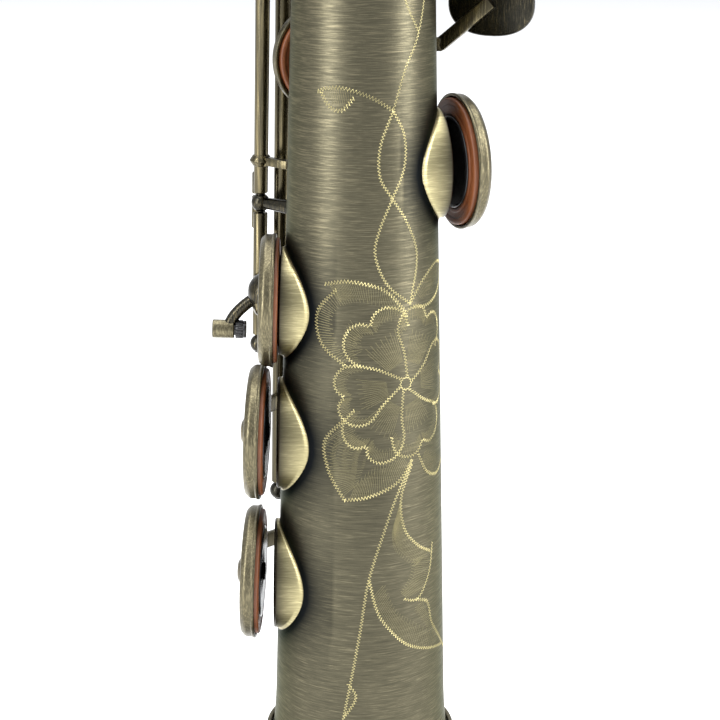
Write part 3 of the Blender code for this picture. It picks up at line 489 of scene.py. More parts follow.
# %% Plates and strips
def plate(outline, half, place=None, corner=0.35, steps=2):
    """An outline in XY made this thick along Z, with its sharp edges bevelled."""
    bm = bmesh.new()
    base = bm.faces.new([bm.verts.new((x, y, -half)) for x, y in outline])
    raised = bmesh.ops.extrude_face_region(bm, geom=[base])
    lifted = [item for item in raised["geom"] if isinstance(item, bmesh.types.BMVert)]
    bmesh.ops.translate(bm, verts=lifted, vec=(0, 0, 2 * half))
    bmesh.ops.recalc_face_normals(bm, faces=bm.faces)
    sharp = [edge for edge in bm.edges if edge.calc_face_angle(0) > math.radians(38)]
    bmesh.ops.bevel(bm, geom=sharp, offset=corner, segments=steps, profile=0.5, affect="EDGES",
                    material=-1, clamp_overlap=True)
    return placed(bm, place)


def smooth_path(points, steps=6):
    """A Catmull-Rom curve through the points."""
    points = [Vector(point) for point in points]
    ends = [points[0] * 2 - points[1]] + points + [points[-1] * 2 - points[-2]]
    made = []
    for a, b, c, d in zip(ends, ends[1:], ends[2:], ends[3:]):
        for k in range(steps):
            t = k / steps
            made.append(0.5 * (2 * b + (c - a) * t + (2 * a - 5 * b + 4 * c - d) * t * t
                               + (3 * b - a - 3 * c + d) * t * t * t))
    return made + [points[-1]]


def ribbon(path, thickness):
    """The outline of a strip this thick along a path of (x, y) points."""
    left, right = [], []
    for i, point in enumerate(path):
        before = (point - path[i - 1]).normalized() if i else None
        after = (path[i + 1] - point).normalized() if i < len(path) - 1 else None
        before, after = before or after, after or before
        normal = Vector((-before.y - after.y, before.x + after.x)).normalized()
        reach = thickness / 2 / max(0.5, normal.dot(Vector((-after.y, after.x))))
        left.append(point + normal * reach)
        right.append(point - normal * reach)
    return left + right[::-1]


def strip(points, thickness, half, place, corner=0.4):
    """A flat bar that follows a smooth path in the frame's XY plane."""
    return plate(ribbon(smooth_path(points, 4), thickness), half, place, corner)


def flat_bar(start, end, width, thickness, facing, overrun=0.6):
    half = (end - start).length / 2 + overrun
    outline = [(-thickness / 2, -width / 2), (thickness / 2, -width / 2)]
    outline += [(thickness / 2, width / 2), (-thickness / 2, width / 2)]
    return plate(outline, half, frame_at((start + end) / 2, facing, end - start), 0.45)


def oval(half_x, half_y, count=32, roundness=0.7):
    """A superellipse, the outline of a finger plate; at a roundness of 1 it is an ellipse."""
    made = []
    for i in range(count):
        angle = math.tau * (i + 0.5) / count
        c, s = math.cos(angle), math.sin(angle)
        x, y = math.copysign(abs(c) ** roundness, c), math.copysign(abs(s) ** roundness, s)
        made.append((half_x * x, half_y * y))
    return made


print("plates and strips ready")

# %% Gathering solids into a piece
GENTLE, CORNER = math.radians(18), math.radians(50)  # bends that count as none and as full
made_pieces = []


def mark_edges(bm):
    """Writes how sharp the corner at each vertex is, from 0 on a gentle bend to 1 on an edge."""
    layer = bm.verts.layers.float.new("edge")
    for vert in bm.verts:
        bend = max((edge.calc_face_angle(0) for edge in vert.link_edges), default=0)
        vert[layer] = min(1.0, max(0.0, (bend - GENTLE) / (CORNER - GENTLE)))


def piece(name, solids, body, look, replaces=()):
    """Joins solids into one object in metres that rides on a body."""
    whole = bmesh.new()
    whole.verts.layers.float.new("patina_and_shade")
    for solid in solids:
        step = bpy.data.meshes.new("step")
        solid.to_mesh(step)
        solid.free()
        whole.from_mesh(step)
        bpy.data.meshes.remove(step)
    mark_edges(whole)
    bmesh.ops.scale(whole, vec=(MM, MM, MM), verts=whole.verts)
    mesh = bpy.data.meshes.new(name)
    whole.to_mesh(mesh)
    whole.free()
    mesh.materials.append(look.material)
    mesh.shade_smooth()
    mesh.set_sharp_from_angle(angle=math.radians(40))
    made = bpy.data.objects.new(name, mesh)
    bpy.context.scene.collection.objects.link(made)
    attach(made, body)
    if replaces:
        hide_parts(*replaces)
    made_pieces.append(made)
    return made


def carved(solid, cutters):
    """A solid with others cut out of it by an exact Boolean."""
    parts = []
    for bm in [solid] + cutters:
        mesh = bpy.data.meshes.new("carving")
        bm.to_mesh(mesh)
        bm.free()
        parts.append(bpy.data.objects.new("carving", mesh))
    tools = bpy.data.collections.new("tools")
    bpy.context.scene.collection.children.link(tools)
    bpy.context.scene.collection.objects.link(parts[0])
    for part in parts[1:]:
        tools.objects.link(part)
    step = parts[0].modifiers.new("carve", "BOOLEAN")
    step.operand_type, step.collection, step.solver = "COLLECTION", tools, "EXACT"
    evaluated = parts[0].evaluated_get(bpy.context.evaluated_depsgraph_get())
    mesh = bpy.data.meshes.new_from_object(evaluated)
    bm = bmesh.new()
    bm.from_mesh(mesh)
    for part in parts:
        bpy.data.objects.remove(part)
    bpy.data.collections.remove(tools)
    bpy.data.meshes.remove(mesh)
    return bm


print("gathering ready")

# %% [markdown]
# ## Tone holes
#
# A tone hole is drawn out of the tube's own wall: a ball is pulled through from inside, so the
# chimney grows out of the tube in a smooth fillet and ends in a flat rim for the pad. The fillet
# has to follow the round tube, so a ring is spun flat first, and then its rows are dropped onto
# the tube.

# %% Drawn chimneys
CHIMNEY_WALL = 0.9
FILLET = 0.7


def hole_face(hole):
    """Centre of a tone hole's flat face."""
    return beside(hole.azimuth, CHIMNEY_RISE, hole.z)


def hole_frame(hole):
    """At the centre of the chimney's face, X up the tube and Z outwards."""
    return frame_at(hole_face(hole), along(hole.azimuth), outward(hole.azimuth))


def tube_drop(across, hole):
    """How far below the face the tube's surface is, at this distance across the hole."""
    radius = tube_radius(hole.z)
    inside = min(abs(across), radius * 0.999)
    return CHIMNEY_RISE + radius - math.sqrt(radius * radius - inside * inside)


def chimney(hole, sides=72):
    outer, bore = hole.chimney, hole.chimney - CHIMNEY_WALL
    fillet = min(FILLET, outer * 0.3)
    rows = []  # radius, height above the tube, and whether the row follows the tube
    for k in range(7):
        bend = math.radians(90 * k / 6)
        rows.append((outer + fillet * (1 - math.sin(bend)), fillet * (1 - math.cos(bend)) + 0.03, True))
    rows += [(outer, -0.25, False), (outer - 0.25, 0.0, False), (bore + 0.25, 0.0, False)]
    rows += [(bore, -0.25, False), (bore, -WALL - 0.4, True), (outer + fillet, -WALL * 0.6, True)]
    bm = spun([(row[0], i) for i, row in enumerate(rows)], sides, closed=True)
    for vert in bm.verts:
        reach, rise, follows = rows[round(vert.co.z)]
        if follows:
            height = rise - tube_drop(vert.co.y, hole)
            vert.co.z = min(height, -0.25 - 0.02 * (outer + fillet - reach))
        else:
            vert.co.z = rise
    return placed(bm, hole_frame(hole))


chimneys = [chimney(hole, 72 if hole.chimney > 8 else 40) for hole in HOLES.values()]
piece("tone_holes", chimneys, "body", chimney_brass)
print("chimneys:", len(chimneys))

# %% [markdown]
# ## The tube
#
# The body is a plain cone of 0.8 mm brass. It is spun from a closed profile, outside and inside,
# and the tone holes are bored with an exact Boolean. Its foot widens a little where it enters the
# ring, and its top carries the receiver, a thicker sleeve with two lugs for the neck screw.

# %% Body tube
def tube_profile():
    foot = RING_Z + CLEARANCE / 2
    outside, inside = [], []
    for i in range(8):
        z = foot + FOOT_FLARE_LENGTH * i / 7
        flare = FOOT_FLARE * (1 - i / 7) ** 2
        outside.append((tube_radius(z) + flare, z))
        inside.append((tube_radius(z) + flare - WALL, z))
    rows = 150
    span = BODY_TOP_Z - foot - FOOT_FLARE_LENGTH
    heights = [foot + FOOT_FLARE_LENGTH + span * i / rows for i in range(1, rows + 1)]
    outside += [(tube_radius(z), z) for z in heights]
    inside += [(tube_radius(z) - WALL, z) for z in heights]
    return outside + inside[::-1]


bores = []
for hole in HOLES.values():
    face, normal = hole_face(hole), outward(hole.azimuth)
    depth = tube_radius(hole.z) + CHIMNEY_RISE
    bores.append(bar(face - normal * depth * 0.9, face + normal, hole.chimney - CHIMNEY_WALL * 0.5, 48))
tube = carved(spun(tube_profile(), 144, closed=True), bores)
PATINA_AND_SHADE_REACH = 4.2  # how far the darkening round a chimney reaches: the bath's dark in the crease, and painted shade under the key cup
dark_layer = tube.verts.layers.float.new("patina_and_shade")
# Painted shade, on top of the bath's dark in the crease: the tube darkens round each chimney, where its
# key cup overhangs it.
for vert in tube.verts:
    for hole in HOLES.values():
        near = hole_frame(hole).inverted() @ vert.co
        if near.z > -hole.chimney:
            gap = max(0.0, math.hypot(near.x, near.y) - hole.chimney)
            vert[dark_layer] = max(vert[dark_layer], math.exp(-gap / PATINA_AND_SHADE_REACH))
piece("body_cone", [tube], "body", body_brass, ["body_tube"])
print("body cone faces:", len(made_pieces[-1].data.polygons))

# %% Receiver
RECEIVER_HEIGHT, RECEIVER_THICKNESS = 14.0, 2.0
COLLAR = tube_radius(BODY_TOP_Z) + RECEIVER_THICKNESS
LUG_Z = BODY_TOP_Z - RECEIVER_HEIGHT / 2
receiver_low = BODY_TOP_Z - RECEIVER_HEIGHT
bore_radius = tube_radius(BODY_TOP_Z) - WALL + 0.7
sleeve = [(bore_radius + 0.4, receiver_low - 2), (tube_radius(receiver_low) + 0.05, receiver_low - 2)]
sleeve += [(COLLAR, receiver_low), (COLLAR, BODY_TOP_Z + 0.5), (bore_radius, BODY_TOP_Z + 0.5)]
lugs = []
for side in (-1, 1):
    lug = [(COLLAR - 1.5, side * 0.9), (COLLAR + 4.5, side * 0.9)]
    lug += [(COLLAR + 4.5, side * 3.2), (COLLAR - 1.5, side * 3.2)]
    lugs.append(plate(lug, 3.4, frame_at(Vector((0, 0, LUG_Z)), outward(60), Vector((0, 0, 1))), 0.5))
piece("receiver", [spun(softened(sleeve, 0.6, closed=True), 96, closed=True)] + lugs, "body",
      dark_brass)
print("receiver radius, mm:", round(COLLAR, 2))

# %% [markdown]
# ## Posts
#
# Every rod turns between ball-headed posts that stand on little feet soldered to the tube. The head
# is a turned ball; the pointed end of a pivot screw shows in it as a disc.

# %% Ball posts
POST_LENGTH, POST_RADIUS, STEM_RADIUS = 4.4, 2.35, 1.6
posts = []


def post(foot, head, axis, ball_radius, stem):
    """A flanged foot, a tapered stem and a ball with the pivot screw's end."""
    out = (head - foot).normalized()
    base = foot + out * WALL
    posts.append(bar(base - out * 0.3, base + out * 0.9, stem * 1.75, 24, stem * 1.25, 0.2))
    posts.append(bar(base, head, stem * 1.3, 24, stem * 0.8))
    posts.append(ball(head, ball_radius))
    reach = axis * ball_radius * 0.98
    posts.append(bar(head - reach, head + reach, ball_radius * 0.5, 20))


rods = list(ROD_KEYS.values()) + [C_SHARP_LEVER]
for azimuth, lift, z in sorted({(key.hinge, key.lift, z) for key in rods for z in (key.low, key.high)}):
    foot, head = beside(azimuth, -WALL * 0.5, z), beside(azimuth, lift, z)
    post(foot, head, along(azimuth), POST_RADIUS, STEM_RADIUS)


def cross_frame(name):
    """At a cross key's rod: X up the tube, Y outwards, Z along the rod."""
    key, hole = CROSS_KEYS[name], HOLES[name]
    x_axis, origin = along(hole.azimuth), beside(hole.azimuth, key.lift, key.hinge_z)
    return frame_at(origin, x_axis, x_axis.cross(outward(hole.azimuth)))


CROSS_ROD_HALF = 4.6
for name, key in CROSS_KEYS.items():
    place, radius = cross_frame(name), tube_radius(key.hinge_z)
    for side in (-1, 1):
        head = place @ Vector((0, 0, side * (CROSS_ROD_HALF + 2 * CLEARANCE + 1.3)))
        foot = place @ Vector((0, -key.lift - radius * 0.3, side * radius * 0.55))
        axis = place.col[2].xyz
        posts.append(bar(foot, head, 1.5, 20, 1.2))
        posts.append(bar(head - axis * 1.3, head + axis * 1.3, 2.1, 28, corner=0.5))
piece("posts", posts, "body", dark_brass)
print("posts made:", len(posts))

# %% Strap ring
STRAP_RADIUS, STRAP_WIRE, STRAP_Z = 4.6, 1.15, 405.0
ring_centre = beside(270, STRAP_RADIUS + 0.6, STRAP_Z)
wire = [(STRAP_RADIUS + STRAP_WIRE * math.cos(a), STRAP_WIRE * math.sin(a))
        for a in (math.tau * i / 16 for i in range(16))]
piece("strap_ring", [spun(wire, 48, frame_at(ring_centre, outward(270), along(270)), closed=True)],
      "body", dark_brass)
print("strap ring at", [round(v) for v in ring_centre])

# %% [markdown]
# ## Bell and ring
#
# The bell is spun over a mandrel in one sweep, so its profile is a smooth power curve, with the rim
# rolled over a wire. A bright ring covers the joint of bell and body.

# %% Bell
RIM_RADIUS, RIM_BEAD, FLARE_POWER = 46.0, 1.3, 2.3
bell_top = RING_Z - CLEARANCE / 2
outer, inner = [], []
for i in range(41):
    share = i / 40
    z = RIM_BEAD + (bell_top - RIM_BEAD) * share
    spread = (RIM_RADIUS - RIM_BEAD - RING_TUBE_RADIUS - FOOT_FLARE) * (1 - share) ** FLARE_POWER
    outer.append((RING_TUBE_RADIUS + FOOT_FLARE + spread, z))
    inner.append((RING_TUBE_RADIUS + FOOT_FLARE + spread - WALL, z + 0.25 * (1 - share)))
bead = [(RIM_RADIUS - 1.25 + 1.25 * math.cos(a), 1.25 + 1.25 * math.sin(a))
        for a in (math.radians(-200 + 260 * i / 14) for i in range(15))]
piece("flared_bell", [spun(inner[::-1] + bead + outer[1:], 160, closed=True)], "body", body_brass,
      ["bell"])
print("bell faces:", len(made_pieces[-1].data.polygons))

# %% Bell ring
ring_inner = RING_TUBE_RADIUS + FOOT_FLARE + CLEARANCE
ring = [(ring_inner, RING_Z - 3), (ring_inner + 1.3, RING_Z - 3), (ring_inner + 1.3, RING_Z + 2.2)]
ring += [(ring_inner, RING_Z + 2.2)]
piece("joint_ring", [spun(softened(ring, 1.1, 12, closed=True), 160, closed=True)], "body", cup_brass,
      ["bell_ring"])
print("ring outer radius, mm:", ring_inner + 1.3)

# %% [markdown]
# ## The neck and the mouthpiece
#
# A straight soprano's neck is a short cone that slips into the receiver, with a cork sleeve. The
# hard rubber mouthpiece pushes onto the cork. It is turned first, and then its beak, its flat table
# and its window are cut away, as a mouthpiece maker does, with exact Booleans.

# %% Neck, cork and neck screw
NECK_LENGTH, NECK_TENON, NECK_WALL, NECK_COLLAR = 52.0, 12.0, 0.9, 4.0
CORK_THICKNESS, CORK_LENGTH = 1.1, 27.0
neck_low, neck_top = BODY_TOP_Z - NECK_TENON, BODY_TOP_Z + NECK_LENGTH
shelf = BODY_TOP_Z + 0.5 + CLEARANCE


def neck_radius(z):
    return tube_radius(z) - 0.2


tenon = bore_radius - CLEARANCE
outline = [(tenon, neck_low), (tenon, shelf), (COLLAR, shelf), (COLLAR, shelf + NECK_COLLAR)]
outline += [(neck_radius(shelf + NECK_COLLAR), shelf + NECK_COLLAR + 1)]
outline += [(neck_radius(neck_top), neck_top)]
outline += [(neck_radius(neck_top) - NECK_WALL, neck_top), (neck_radius(neck_low) - NECK_WALL, neck_low)]
piece("neck_tube", [spun(softened(outline, 0.5, closed=True), 96, closed=True)], "body", body_brass,
      ["neck"])
cork_low = neck_top - CORK_LENGTH
sleeve = [(neck_radius(cork_low) + CLEARANCE, cork_low)]
sleeve += [(neck_radius(cork_low) + CLEARANCE + CORK_THICKNESS, cork_low)]
sleeve += [(neck_radius(neck_top) + CLEARANCE + CORK_THICKNESS, neck_top - 1)]
sleeve += [(neck_radius(neck_top) + CLEARANCE, neck_top - 1)]
piece("cork_sleeve", [spun(softened(sleeve, 0.4, closed=True), 72, closed=True)], "body", cork,
      ["neck_cork"])
flat_out = Vector((math.cos(math.radians(60)), math.sin(math.radians(60)), 0))
screw_centre = Vector((0, 0, LUG_Z)) + flat_out * (COLLAR + 2.6)
axis = frame_at(screw_centre, Vector((0, 0, 1)), sideways(60)).col[2].xyz
thumb_frame = frame_at(screw_centre + axis * 9.5, axis, Vector((0, 0, 1)))
thumb_piece = plate(oval(3.4, 5.0), 0.9, thumb_frame, 0.45)
screw = [bar(screw_centre - axis * 4.6, screw_centre + axis * 7.5, 1.3, 24)]
screw += [bar(screw_centre + axis * 3.6, screw_centre + axis * 5.4, 2.4, 32, corner=0.4), thumb_piece]
piece("clamp_screw", screw, "body", dark_brass, ["neck_screw"])
print("neck top, mm:", neck_top)

# %% Mouthpiece
MOUTHPIECE_LENGTH, MOUTHPIECE_WALL, TIP_RADIUS = 66.0, 3.4, 8.0
TABLE_HEEL, TABLE_TIP, REED_LENGTH, REED_WIDTH, REED_THICKNESS = 9.0, 6.4, 60.0, 11.0, 2.4
low = neck_top - CORK_LENGTH + 11
high = low + MOUTHPIECE_LENGTH
shank = neck_radius(low) + 2 * CLEARANCE + CORK_THICKNESS + MOUTHPIECE_WALL


def table_y(z):
    """The flat table, on the thumb side, which slopes towards the tip."""
    return -(TABLE_TIP + (TABLE_HEEL - TABLE_TIP) * (high - z) / REED_LENGTH)


side_on = frame_at(Vector((0, 0, 0)), Vector((0, 1, 0)), Vector((1, 0, 0)))
flip = side_on.col[1].xyz.z


def profile_cutter(points, half):
    return plate([(y, z * flip) for y, z in points], half, side_on, corner=0.05, steps=1)


outline = [(0, low), (shank, low), (shank, low + 8), (shank - 0.5, low + 9)]
outline += [(TIP_RADIUS + 0.8, high - 32), (TIP_RADIUS, high), (0, high)]
foot, tip = high - REED_LENGTH - 1, table_y(high)
beak = [(tip + 1.2, high + 1), (tip + 2.2, high - 1.5), (tip + 6.5, high - 13)]
beak += [(TIP_RADIUS + 2, high - 30), (TIP_RADIUS + 9, high - 30), (TIP_RADIUS + 9, high + 1)]
table = [(table_y(foot), foot), (table_y(high - 18), high - 18), (tip + 0.7, high + 1)]
table += [(-20, high + 1), (-20, foot)]
window = [(0.5, high - 30), (tip - 4, high - 30), (tip - 4, high - 3.5), (tip + 0.9, high - 3.5)]
inside = [(0, low - 1), (shank - MOUTHPIECE_WALL, low - 1), (shank - MOUTHPIECE_WALL - 0.3, low + 20)]
inside += [(4.3, low + 23), (3.6, high - 26), (0, high - 26)]
cutters = [profile_cutter(beak, 20), profile_cutter(table, 20), profile_cutter(window, 3.6)]
turned = carved(spun(softened(outline, 0.6), 96), cutters + [spun(inside, 40)])
piece("rubber_mouthpiece", [turned], "body", ebonite, ["mouthpiece"])
print("mouthpiece from", low, "to", high)

# %% Reed
heel = high - REED_LENGTH
near = [(table_y(z) - CLEARANCE, z) for z in (heel, high - 0.5)]
far = [(near[1][0] - 0.3, high - 0.5), (table_y(high - 24) - REED_THICKNESS, high - 24)]
blade = [(y, z * flip) for y, z in near + far + [(near[0][0] - REED_THICKNESS, heel)]]
piece("cane_reed", [plate(blade, REED_WIDTH / 2, side_on, 0.12)], "body", cane, ["reed"])
print("reed length, mm:", REED_LENGTH)

# %% [markdown]
# ## Ligature
#
# A sheet metal band with two screws holds the reed to the table. The band is spun as a whole ring,
# and then slit where its two lugs stand, so that the screws can draw it tight.

# %% Ligature
LIGATURE_HEIGHT = 15.0
middle = low + 26
centre = Vector((0, -0.5, middle))
reed_back = -table_y(middle - LIGATURE_HEIGHT / 2) + CLEARANCE + REED_THICKNESS
grip = math.hypot(REED_WIDTH / 2, reed_back + centre.y) + CLEARANCE
band = [(grip, -LIGATURE_HEIGHT / 2), (grip + 0.9, -LIGATURE_HEIGHT / 2)]
band += [(grip + 0.9, LIGATURE_HEIGHT / 2), (grip, LIGATURE_HEIGHT / 2)]
level = frame_at(centre, Vector((1, 0, 0)), Vector((0, 0, 1)))
gap = [(-1.0, -grip - 3), (1.0, -grip - 3), (1.0, -grip + 2), (-1.0, -grip + 2)]
slit = plate(gap, 12, level, 0.05, 1)
band = carved(spun(softened(band, 0.35, closed=True), 96, level, closed=True), [slit])
lugs = []
for side in (-1, 1):
    xs = (side * 1.6, side * 3.8)
    lug = [(xs[0], -grip - 6.2), (xs[1], -grip - 6.2), (xs[1], -grip + 0.2), (xs[0], -grip + 0.2)]
    lugs.append(plate(lug, LIGATURE_HEIGHT / 2 - 0.6, level, 0.4))
piece("ligature_band", [band] + lugs, "body", cup_brass, ["ligature"])
for number, rise in enumerate((-4.0, 4.0), 1):
    at, reach = centre + Vector((0, -grip - 3.7, rise)), Vector((1, 0, 0))
    parts = [bar(at - reach * 5.2, at + reach * 6.0, 1.2, 24)]
    parts.append(bar(at + reach * 4.3, at + reach * 9.8, 2.5, 32, corner=0.5))
    parts.append(bar(at - reach * 5.6, at - reach * 4.2, 1.9, 24))
    piece(f"reed_screw_{number}", parts, "body", cup_brass, [f"ligature_screw_{number}"])
print("ligature radius, mm:", round(grip, 2))

# %% [markdown]
# ## Thumb hook and thumb rest
#
# The right thumb carries the instrument under a curved hook, screwed to a plate on the tube. The
# left thumb lies on a small round rest higher up.

# %% Thumb fittings
HOOK_Z, REST_Z = 335.0, 490.0
hook_frame = frame_at(beside(270, 0, HOOK_Z), along(270), sideways(270))
out = math.copysign(1, hook_frame.col[1].xyz.dot(outward(270)))
base = [(-13, 0.3 * out), (13, 0.3 * out), (13, 2.1 * out), (-13, 2.1 * out)]
bends = [(9, 1.6), (8.5, 6), (6.5, 12), (2, 16), (-5, 17.5), (-9, 16.5)]
hook = [(x, y * out) for x, y in bends]
parts = [plate(base, 4.6, hook_frame, 0.5), strip(hook, 2.2, 5.5, hook_frame, 0.7)]
for slide in (-8.0, 0.0):
    head = hook_frame @ Vector((slide, 1.9 * out, 0))
    parts.append(bar(head, head + outward(270) * 0.9, 1.9, 24))
piece("hook", parts, "body", dark_brass, ["thumb_hook"])
rest = [(0, 2.6), (3.6, 2.9), (5.3, 3.4), (6.4, 2.0), (6.4, 0), (0, 0)]
rest_frame = frame_at(beside(270, CLEARANCE, REST_Z), along(270), outward(270))
piece("rest", [spun(softened(rest, 1.0, 4), 48, rest_frame)], "body", ebonite, ["thumb_rest"])
print("thumb fittings made")

# %% [markdown]
# ## Key cups, pads and resonators
#
# A key cup is a shallow pan with a beaded rim and a low dome. The pad glued in it is a felt disc in
# thin brown leather, with a ring pressed into it by the chimney and a domed resonator riveted at its
# middle. All are spun about the hole's own axis. Keys that stand open are then turned about their
# rod, by the angle that the frame rests at.

# %% Cups and pads
CUP_WALL, CUP_DOME, CUP_OVER, PAD_PROUD = 0.8, 0.5, 3.1, 0.9
RIM = CLEARANCE + PAD_PROUD


def cup_sizes(hole):
    """Outer radius of a key cup and the height of its wall."""
    radius = hole.chimney + CUP_OVER * min(1, 0.45 + hole.chimney / 24)
    return radius, 3.4 if hole.chimney > 9 else 2.8


def cup(hole):
    radius, height = cup_sizes(hole)
    top = RIM + height
    outline = [(0, top + CUP_DOME), (radius * 0.5, top + CUP_DOME * 0.86), (radius - 1.3, top + 0.25)]
    outline += [(radius - 0.25, top - 0.9), (radius - 0.25, RIM + 0.9), (radius, RIM + 0.7)]
    outline += [(radius, RIM), (radius - CUP_WALL, RIM), (radius - CUP_WALL, top - 1.2), (0, top - 1.2)]
    return spun(softened(outline, 0.45), 96 if radius > 10 else 56, hole_frame(hole))


def pad(hole):
    radius, height = cup_sizes(hole)
    edge, seat = radius - CUP_WALL - CLEARANCE, hole.chimney - CHIMNEY_WALL / 2
    top, face = RIM + height - 1.2 - CLEARANCE, CLEARANCE
    outline = [(0, top), (edge, top), (edge, face + 0.25), (edge - 0.5, face), (seat + 1.0, face)]
    outline += [(seat + 0.8, face + 0.25), (seat - 0.5, face + 0.25), (seat - 0.7, face + 0.05)]
    outline += [(seat - 1.3, face), (seat - 1.6, face + 0.3), (0, face + 0.3)]
    return spun(softened(outline, 0.25, 3), 96 if radius > 10 else 56, hole_frame(hole))


def resonator_disc(hole):
    """A black domed disc held by a rivet, as large as the chimney's bore."""
    size, face = hole.chimney * 0.84, CLEARANCE
    outline = [(0, face + 0.4), (size, face + 0.4), (size, face - 0.15), (size * 0.94, face - 0.35)]
    outline += [(size * 0.86, face - 0.2), (size * 0.6, face - 0.1), (size * 0.2, face - 0.35)]
    outline += [(size * 0.18, face - 0.65), (0, face - 0.8)]
    return spun(softened(outline, 0.25, 3), 72, hole_frame(hole))


def crown_height(hole):
    """From the chimney's face to the middle of a cup's dome."""
    return RIM + cup_sizes(hole)[1] + CUP_DOME


def crown_boss(hole):
    """The round boss at the middle of the cup's back, which the arm is soldered to."""
    top, size = crown_height(hole), min(3.6, cup_sizes(hole)[0] * 0.3)
    outline = [(0, top + 1.6), (size * 0.6, top + 1.5), (size, top + 0.6)]
    outline += [(size * 1.12, top - 0.5), (0, top - 0.5)]
    return spun(softened(outline, 0.5, 4), 40, hole_frame(hole))


print("largest cup, mm across:", round(2 * cup_sizes(HOLES["low_b"])[0], 1))

# %% Arms, touches and hinge tubes
POST_MARGIN = POST_LENGTH / 2 + CLEARANCE
ARM_THICKNESS, ARM_WIDTH, TOUCH_THICKNESS = 1.9, 4.2, 2.0


def hinge_tube(key):
    low_end = beside(key.hinge, key.lift, key.low + POST_MARGIN)
    high_end = beside(key.hinge, key.lift, key.high - POST_MARGIN)
    return bar(low_end, high_end, key.rod + 0.02, 36, corner=0.3)


def arm_to_cup(key, hole):
    """A flat arm that leaves the rod, rises past the cup's edge and lies across its dome."""
    radius = cup_sizes(hole)[0]
    place = hole_frame(hole)
    hinge = place.inverted() @ beside(key.hinge, key.lift, hole.z)
    side = math.copysign(1, hinge.y)
    crown = crown_height(hole)
    inner = 0.45 * radius if key.pearl else -0.12 * radius
    path = [(side * inner, crown + 0.1), (side * 0.62 * radius, crown + 0.1 - (0.4 if key.pearl else 0))]
    path += [(side * (radius + 0.4), max(hinge.z + 0.5, crown - CUP_DOME - 0.5)), (hinge.y, hinge.z)]
    across = frame_at(place.translation, place.col[1].xyz, place.col[0].xyz)
    sense = across.col[1].xyz.dot(place.col[2].xyz)
    return strip([(x, y * sense) for x, y in path], ARM_THICKNESS, ARM_WIDTH / 2, across, 0.6)


def touch_frame(azimuth, lift, z, side):
    """At a rod, X towards the touch, Y outwards and Z along the rod, or against it."""
    x_axis = sideways(azimuth) * side
    return frame_at(beside(azimuth, lift, z), x_axis, x_axis.cross(outward(azimuth)))


def touch_plate(key, touch):
    """The finger plate, a low cushion shape."""
    place = touch_frame(key.hinge, key.lift, touch.z, touch.side)
    at = place @ Vector((touch.reach, touch.rise + ARM_THICKNESS / 2 + 0.4, 0))
    return plate(oval(touch.half_width, touch.half_height, 48, 0.85), TOUCH_THICKNESS / 2,
                 frame_at(at, place.col[0].xyz, place.col[1].xyz), 0.75, 4)


def touch_arm(key, touch):
    """The arm from the rod to a finger plate."""
    place = touch_frame(key.hinge, key.lift, touch.z, touch.side)
    if touch.root_z == touch.z:
        path = [(0, 0), (1.6, touch.over - 1.0)]
        path += [(touch.reach * 0.5, touch.over), (touch.reach, touch.rise)]
        return [strip(path, ARM_THICKNESS, ARM_WIDTH / 2, place, 0.6)]
    root = touch_frame(key.hinge, key.lift, touch.root_z, touch.side)
    bends = [root.translation, root @ Vector((touch.reach * 0.3, touch.over, 0))]
    bends.append(place @ Vector((touch.reach, touch.rise, 0)))
    facing = outward(key.hinge)
    return [flat_bar(a, b, ARM_WIDTH * 0.8, ARM_THICKNESS, facing) for a, b in zip(bends, bends[1:])]


BRIDGE_REACH, BRIDGE_RISE, COLLAR_Z = 3.0, 3.4, 207.6


def bridge(key, z_from, z_to):
    """A tab beside a rod that carries its turn past a shared post."""
    root = beside(key.hinge, key.lift, z_from)
    shift = outward(key.hinge) * BRIDGE_RISE - sideways(key.hinge) * BRIDGE_REACH
    tip = beside(key.hinge, key.lift, z_to) + shift
    facing = outward(key.hinge)
    out = root + shift
    return [flat_bar(root, out, 3.0, 2.2, facing), flat_bar(out, tip, 3.0, 2.2, facing, 0.0)]


print("arm tools ready")

# %% [markdown]
# ## The foot on the low C sharp cup
#
# A curved foot stands on this cup's back. Its little barrel holds a screw with a knurled black
# bumper, which sets how far the cup may open.

# %% C sharp foot
FOOT_OFFSET, FOOT_REACH, FOOT_DROP = 2.0, 7.4, 9.4


def c_sharp_foot(hole):
    """The foot's brass, and apart from it the dark knurled bumper."""
    up, out = along(hole.azimuth), outward(hole.azimuth)
    start = hole_frame(hole).translation + out * (crown_height(hole) - 0.4) + up * FOOT_OFFSET
    barrel = start + out * FOOT_REACH - up * FOOT_DROP
    bends = [start + out * 1.1 - up * 1.3, start + out * 3.8 - up * 3.4, start + out * 6.2 - up * 6.0]
    curve = smooth_path(bends + [barrel + out * 0.6], 6)
    boss = [(0, 3.1), (1.6, 3.0), (3.1, 2.2), (4.3, 0.8), (4.9, -0.8), (0, -0.8)]
    brass = [spun(softened(boss, 0.8, 4), 48, frame_at(start, up, out))]
    for first, second in zip(curve, curve[1:]):
        reach = (second - first).normalized() * 0.3
        brass.append(bar(first - reach, second + reach, 1.45, 24, corner=0.05))
    sleeve = [bar(barrel - out * 1.2, barrel + out * 4.1, 2.25, 40, corner=0.3)]
    ridges, knurl = 18, []
    for i in range(ridges * 2):
        angle, size = math.pi * i / ridges, 2.3 if i % 2 else 2.0
        knurl.append((size * math.cos(angle), size * math.sin(angle)))
    bumper = [plate(knurl, 0.9, frame_at(barrel - out * 2.4, up, out), 0.12, 1)]
    bumper.append(bar(barrel - out * 4.1, barrel - out * 3.2, 2.1, 32))
    bumper.append(bar(barrel - out * 4.0, barrel, 1.5, 24))
    return brass, sleeve, bumper


print("foot ready")

